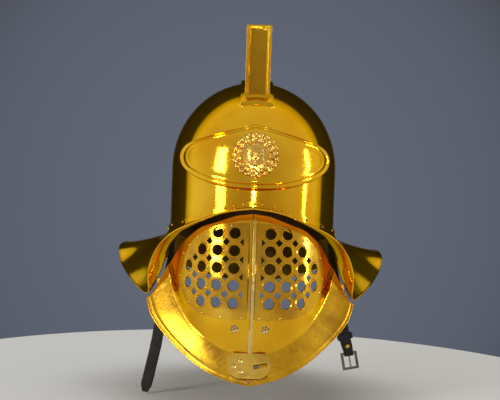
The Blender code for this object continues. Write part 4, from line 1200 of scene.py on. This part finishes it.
def strap_soft(name, side, length, sections, wear):
    """A smooth strap with rounded edges, cut from one strip of leather."""
    shape = []
    for k in range(STRAP_SIDES):
        turn = 2 * math.pi * (k + 0.5) / STRAP_SIDES
        across = math.copysign(abs(math.cos(turn)) ** 0.22, math.cos(turn))
        through = math.copysign(abs(math.sin(turn)) ** 0.45, math.sin(turn))
        shape.append((across, through))
    points = []
    for i in range(STRAP_STEPS + 1):
        along = i / STRAP_STEPS
        k = next(j for j in range(len(sections) - 1) if along <= sections[j + 1][0] + 1e-9)
        (a0, w0, t0), (a1, w1, t1) = sections[k], sections[k + 1]
        part = (along - a0) / (a1 - a0)
        width, thick = w0 + part * (w1 - w0), t0 + part * (t1 - t0)
        centre, wide, down, face = strap_frame(side, length, along)
        worn = 1 - wear * abs(math.sin(37 * along + 2 * side))
        for across, through in shape:
            edge = 0.5 * STRAP_LEATHER * (0.94 if abs(across) > 0.9 else 1)
            reach = across * worn * width * STRAP_WIDTH / 2
            points.append(centre + wide * reach + face * (through * thick * edge))
    faces = grid_faces(STRAP_STEPS + 1, STRAP_SIDES, around=True)
    last = STRAP_STEPS * STRAP_SIDES
    faces += [tuple(range(STRAP_SIDES)), tuple(reversed(range(last, last + STRAP_SIDES)))]
    mesh = mesh_of(points, faces)
    piece(name, mesh, LEATHER, "helmet", [name.replace("_soft", "")])


def straps():
    plain = [(0.0, 1, 1), (0.76, 1, 1)]
    strap_soft("strap_left_soft", -1, STRAP_LEFT_LENGTH, plain + [(0.96, 1, 1), (1.0, 0.5, 1)], 0.03)
    doubled = [(0.80, 1, 1), (0.82, 1, 2), (0.93, 0.95, 2), (0.965, 0.84, 2.7), (1.0, 0.84, 2.7)]
    strap_soft("strap_right_soft", 1, STRAP_RIGHT_LENGTH, plain + doubled, 0.015)


def finish_cad():
    """The pieces shown as built: their metals or leather, and softened edges."""
    for name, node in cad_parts.items():
        for start, (finish, slot_name, soft) in CAD_LOOKS.items():
            if name.startswith(start):
                node.data.materials.clear()
                node.data.materials.append(finish)
                soften(node, soft * MM)
                for face in node.data.polygons:
                    face.use_smooth = True
                node.data.set_sharp_from_angle(angle=SHARP_ANGLE)


def seam_lip():
    """The raised lip strip along the seam, on the right half, over half of the gap."""
    seam = VISOR_SEAM / 2
    top = -VISOR_TOP - LIP_INSET
    bottom = flange_row(len(FLANGE_TABLE) - 1)[0].z + LIP_INSET
    section = [(0, LIP_STAND), (0, LIP_RISE), (LIP_WIDTH, LIP_RISE), (LIP_WIDTH, LIP_STAND)]
    points = []
    for k in range(LIP_ROWS):
        z = top + (bottom - top) * k / (LIP_ROWS - 1)
        for x, rise in section:
            p = visor_point(max(x, seam), z, rise)
            past = min(0, x - seam)
            points.append(p + Vector((past, VISOR_FOLD * past, 0)))
    last = 4 * (LIP_ROWS - 1)
    faces = grid_faces(LIP_ROWS, 4, around=True) + [(0, 1, 2, 3), (last + 3, last + 2, last + 1, last)]
    piece("seam_lip", mesh_of(points, faces), PALE, "visor_right", bevel=LIP_BEVEL)


def hasp_washers():
    """A raised washer round each rivet of the hasp plate."""
    washers = Parts()
    face = GAP + HASP_SHEET + HASP_STAND
    for across, up in HASP_RIVETS:
        x, z = across * HASP_HALF_LENGTH, up * HASP_HALF_HEIGHT
        washers.add(*ring_on(lambda u, v, rise: hasp_point(x + u, z + v, face + rise),
                             HASP_RIVET + WASHER_REACH, WASHER_WIRE))
    piece("hasp_washers", washers.mesh(), PALE, "visor_left")


def area_light(name, place, target, size, power, colour=(1, 1, 1)):
    made = bpy.data.lights.new(name, "AREA")
    made.shape = "RECTANGLE"
    made.size, made.size_y = size
    made.energy = power
    made.color = colour
    lamp = add_object(name, made)
    lamp.location = place
    lamp.rotation_euler = (Vector(target) - Vector(place)).to_track_quat("-Z", "Y").to_euler()
    return lamp


def studio():
    """A pale floor, a soft grey-blue room and large soft lights."""
    floor_mesh = bpy.data.meshes.new("floor")
    lowest = min(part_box(node)[0].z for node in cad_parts) - FLOOR_DROP
    rim = [(x, y, lowest) for x, y in circle(0, 0, FLOOR_RADIUS, FLOOR_SIDES)]
    floor_mesh.from_pydata(rim, [], [tuple(range(FLOOR_SIDES))])
    floor = add_object("floor", floor_mesh)
    paint, _, shader = new_material("floor_paint")
    shader.inputs["Base Color"].default_value = (0.55, 0.55, 0.54, 1)
    shader.inputs["Roughness"].default_value = 0.7
    floor_mesh.materials.append(paint)

    world = bpy.data.worlds.new("studio")
    bpy.context.scene.world = world
    world.use_nodes = True
    tree = world.node_tree
    sky = tree.nodes["Background"]
    place = tree.nodes.new("ShaderNodeTexCoord")
    split = tree.nodes.new("ShaderNodeSeparateXYZ")
    tree.links.new(place.outputs["Generated"], split.inputs[0])
    back = tree.nodes.new("ShaderNodeMapRange")
    tree.links.new(split.outputs["Y"], back.inputs["Value"])
    back.inputs["From Min"].default_value = -1
    back.inputs["From Max"].default_value = 1
    tree.links.new(ramp(tree, back.outputs[0], ROOM_TONES), sky.inputs["Color"])
    sky.inputs["Strength"].default_value = 1.0

    middle = (0, 0, LEVEL)
    area_light("key", (-2.0, -1.7, LEVEL + 0.5), middle, (0.6, 1.0), 38, (1.0, 0.98, 0.95))
    area_light("flash", (0.02, -2.2, LEVEL + 0.06), middle, (0.10, 0.13), 7)
    top = area_light("top", (0.1, 0.5, 2.6), middle, (2.6, 2.0), 40, (0.95, 0.98, 1.0))
    top.visible_glossy = False
    area_light("side", (2.0, -0.35, LEVEL + 0.3), middle, (0.10, 1.0), 12, (1.0, 0.86, 0.62))


def aim_camera():
    """The camera stands level with the brim and sees its front at BRIM_PIXEL."""
    data = bpy.data.cameras.new("camera")
    data.lens = CAMERA_LENS
    data.sensor_width = SENSOR
    camera = add_object("camera", data)
    bpy.context.scene.camera = camera
    yaw, roll = math.radians(CAMERA_YAW), math.radians(CAMERA_ROLL)
    target = Vector((0, 0, LEVEL))
    camera.location = target + CAMERA_DISTANCE * Vector((-math.sin(yaw), -math.cos(yaw), 0))
    turn = Matrix.Rotation(-yaw, 4, "Z") @ Matrix.Rotation(math.radians(90), 4, "X")
    camera.rotation_euler = (turn @ Matrix.Rotation(roll, 4, "Z")).to_euler()
    bpy.context.scene.view_settings.view_transform = "Standard"
    data.shift_x = (IMAGE[0] / 2 - BRIM_PIXEL[0]) / IMAGE[0]
    data.shift_y = (BRIM_PIXEL[1] - IMAGE[1] / 2) / IMAGE[0]


bowl_shell()
brim_shell()
brow_shell()
medallion_cast()
crest_shell()
for word, side in (("left", -1), ("right", 1)):
    visor_shell(word, side)
    grille_shell(word, side)
seam_lip()
hasp_washers()
straps()
finish_cad()
studio()
aim_camera()
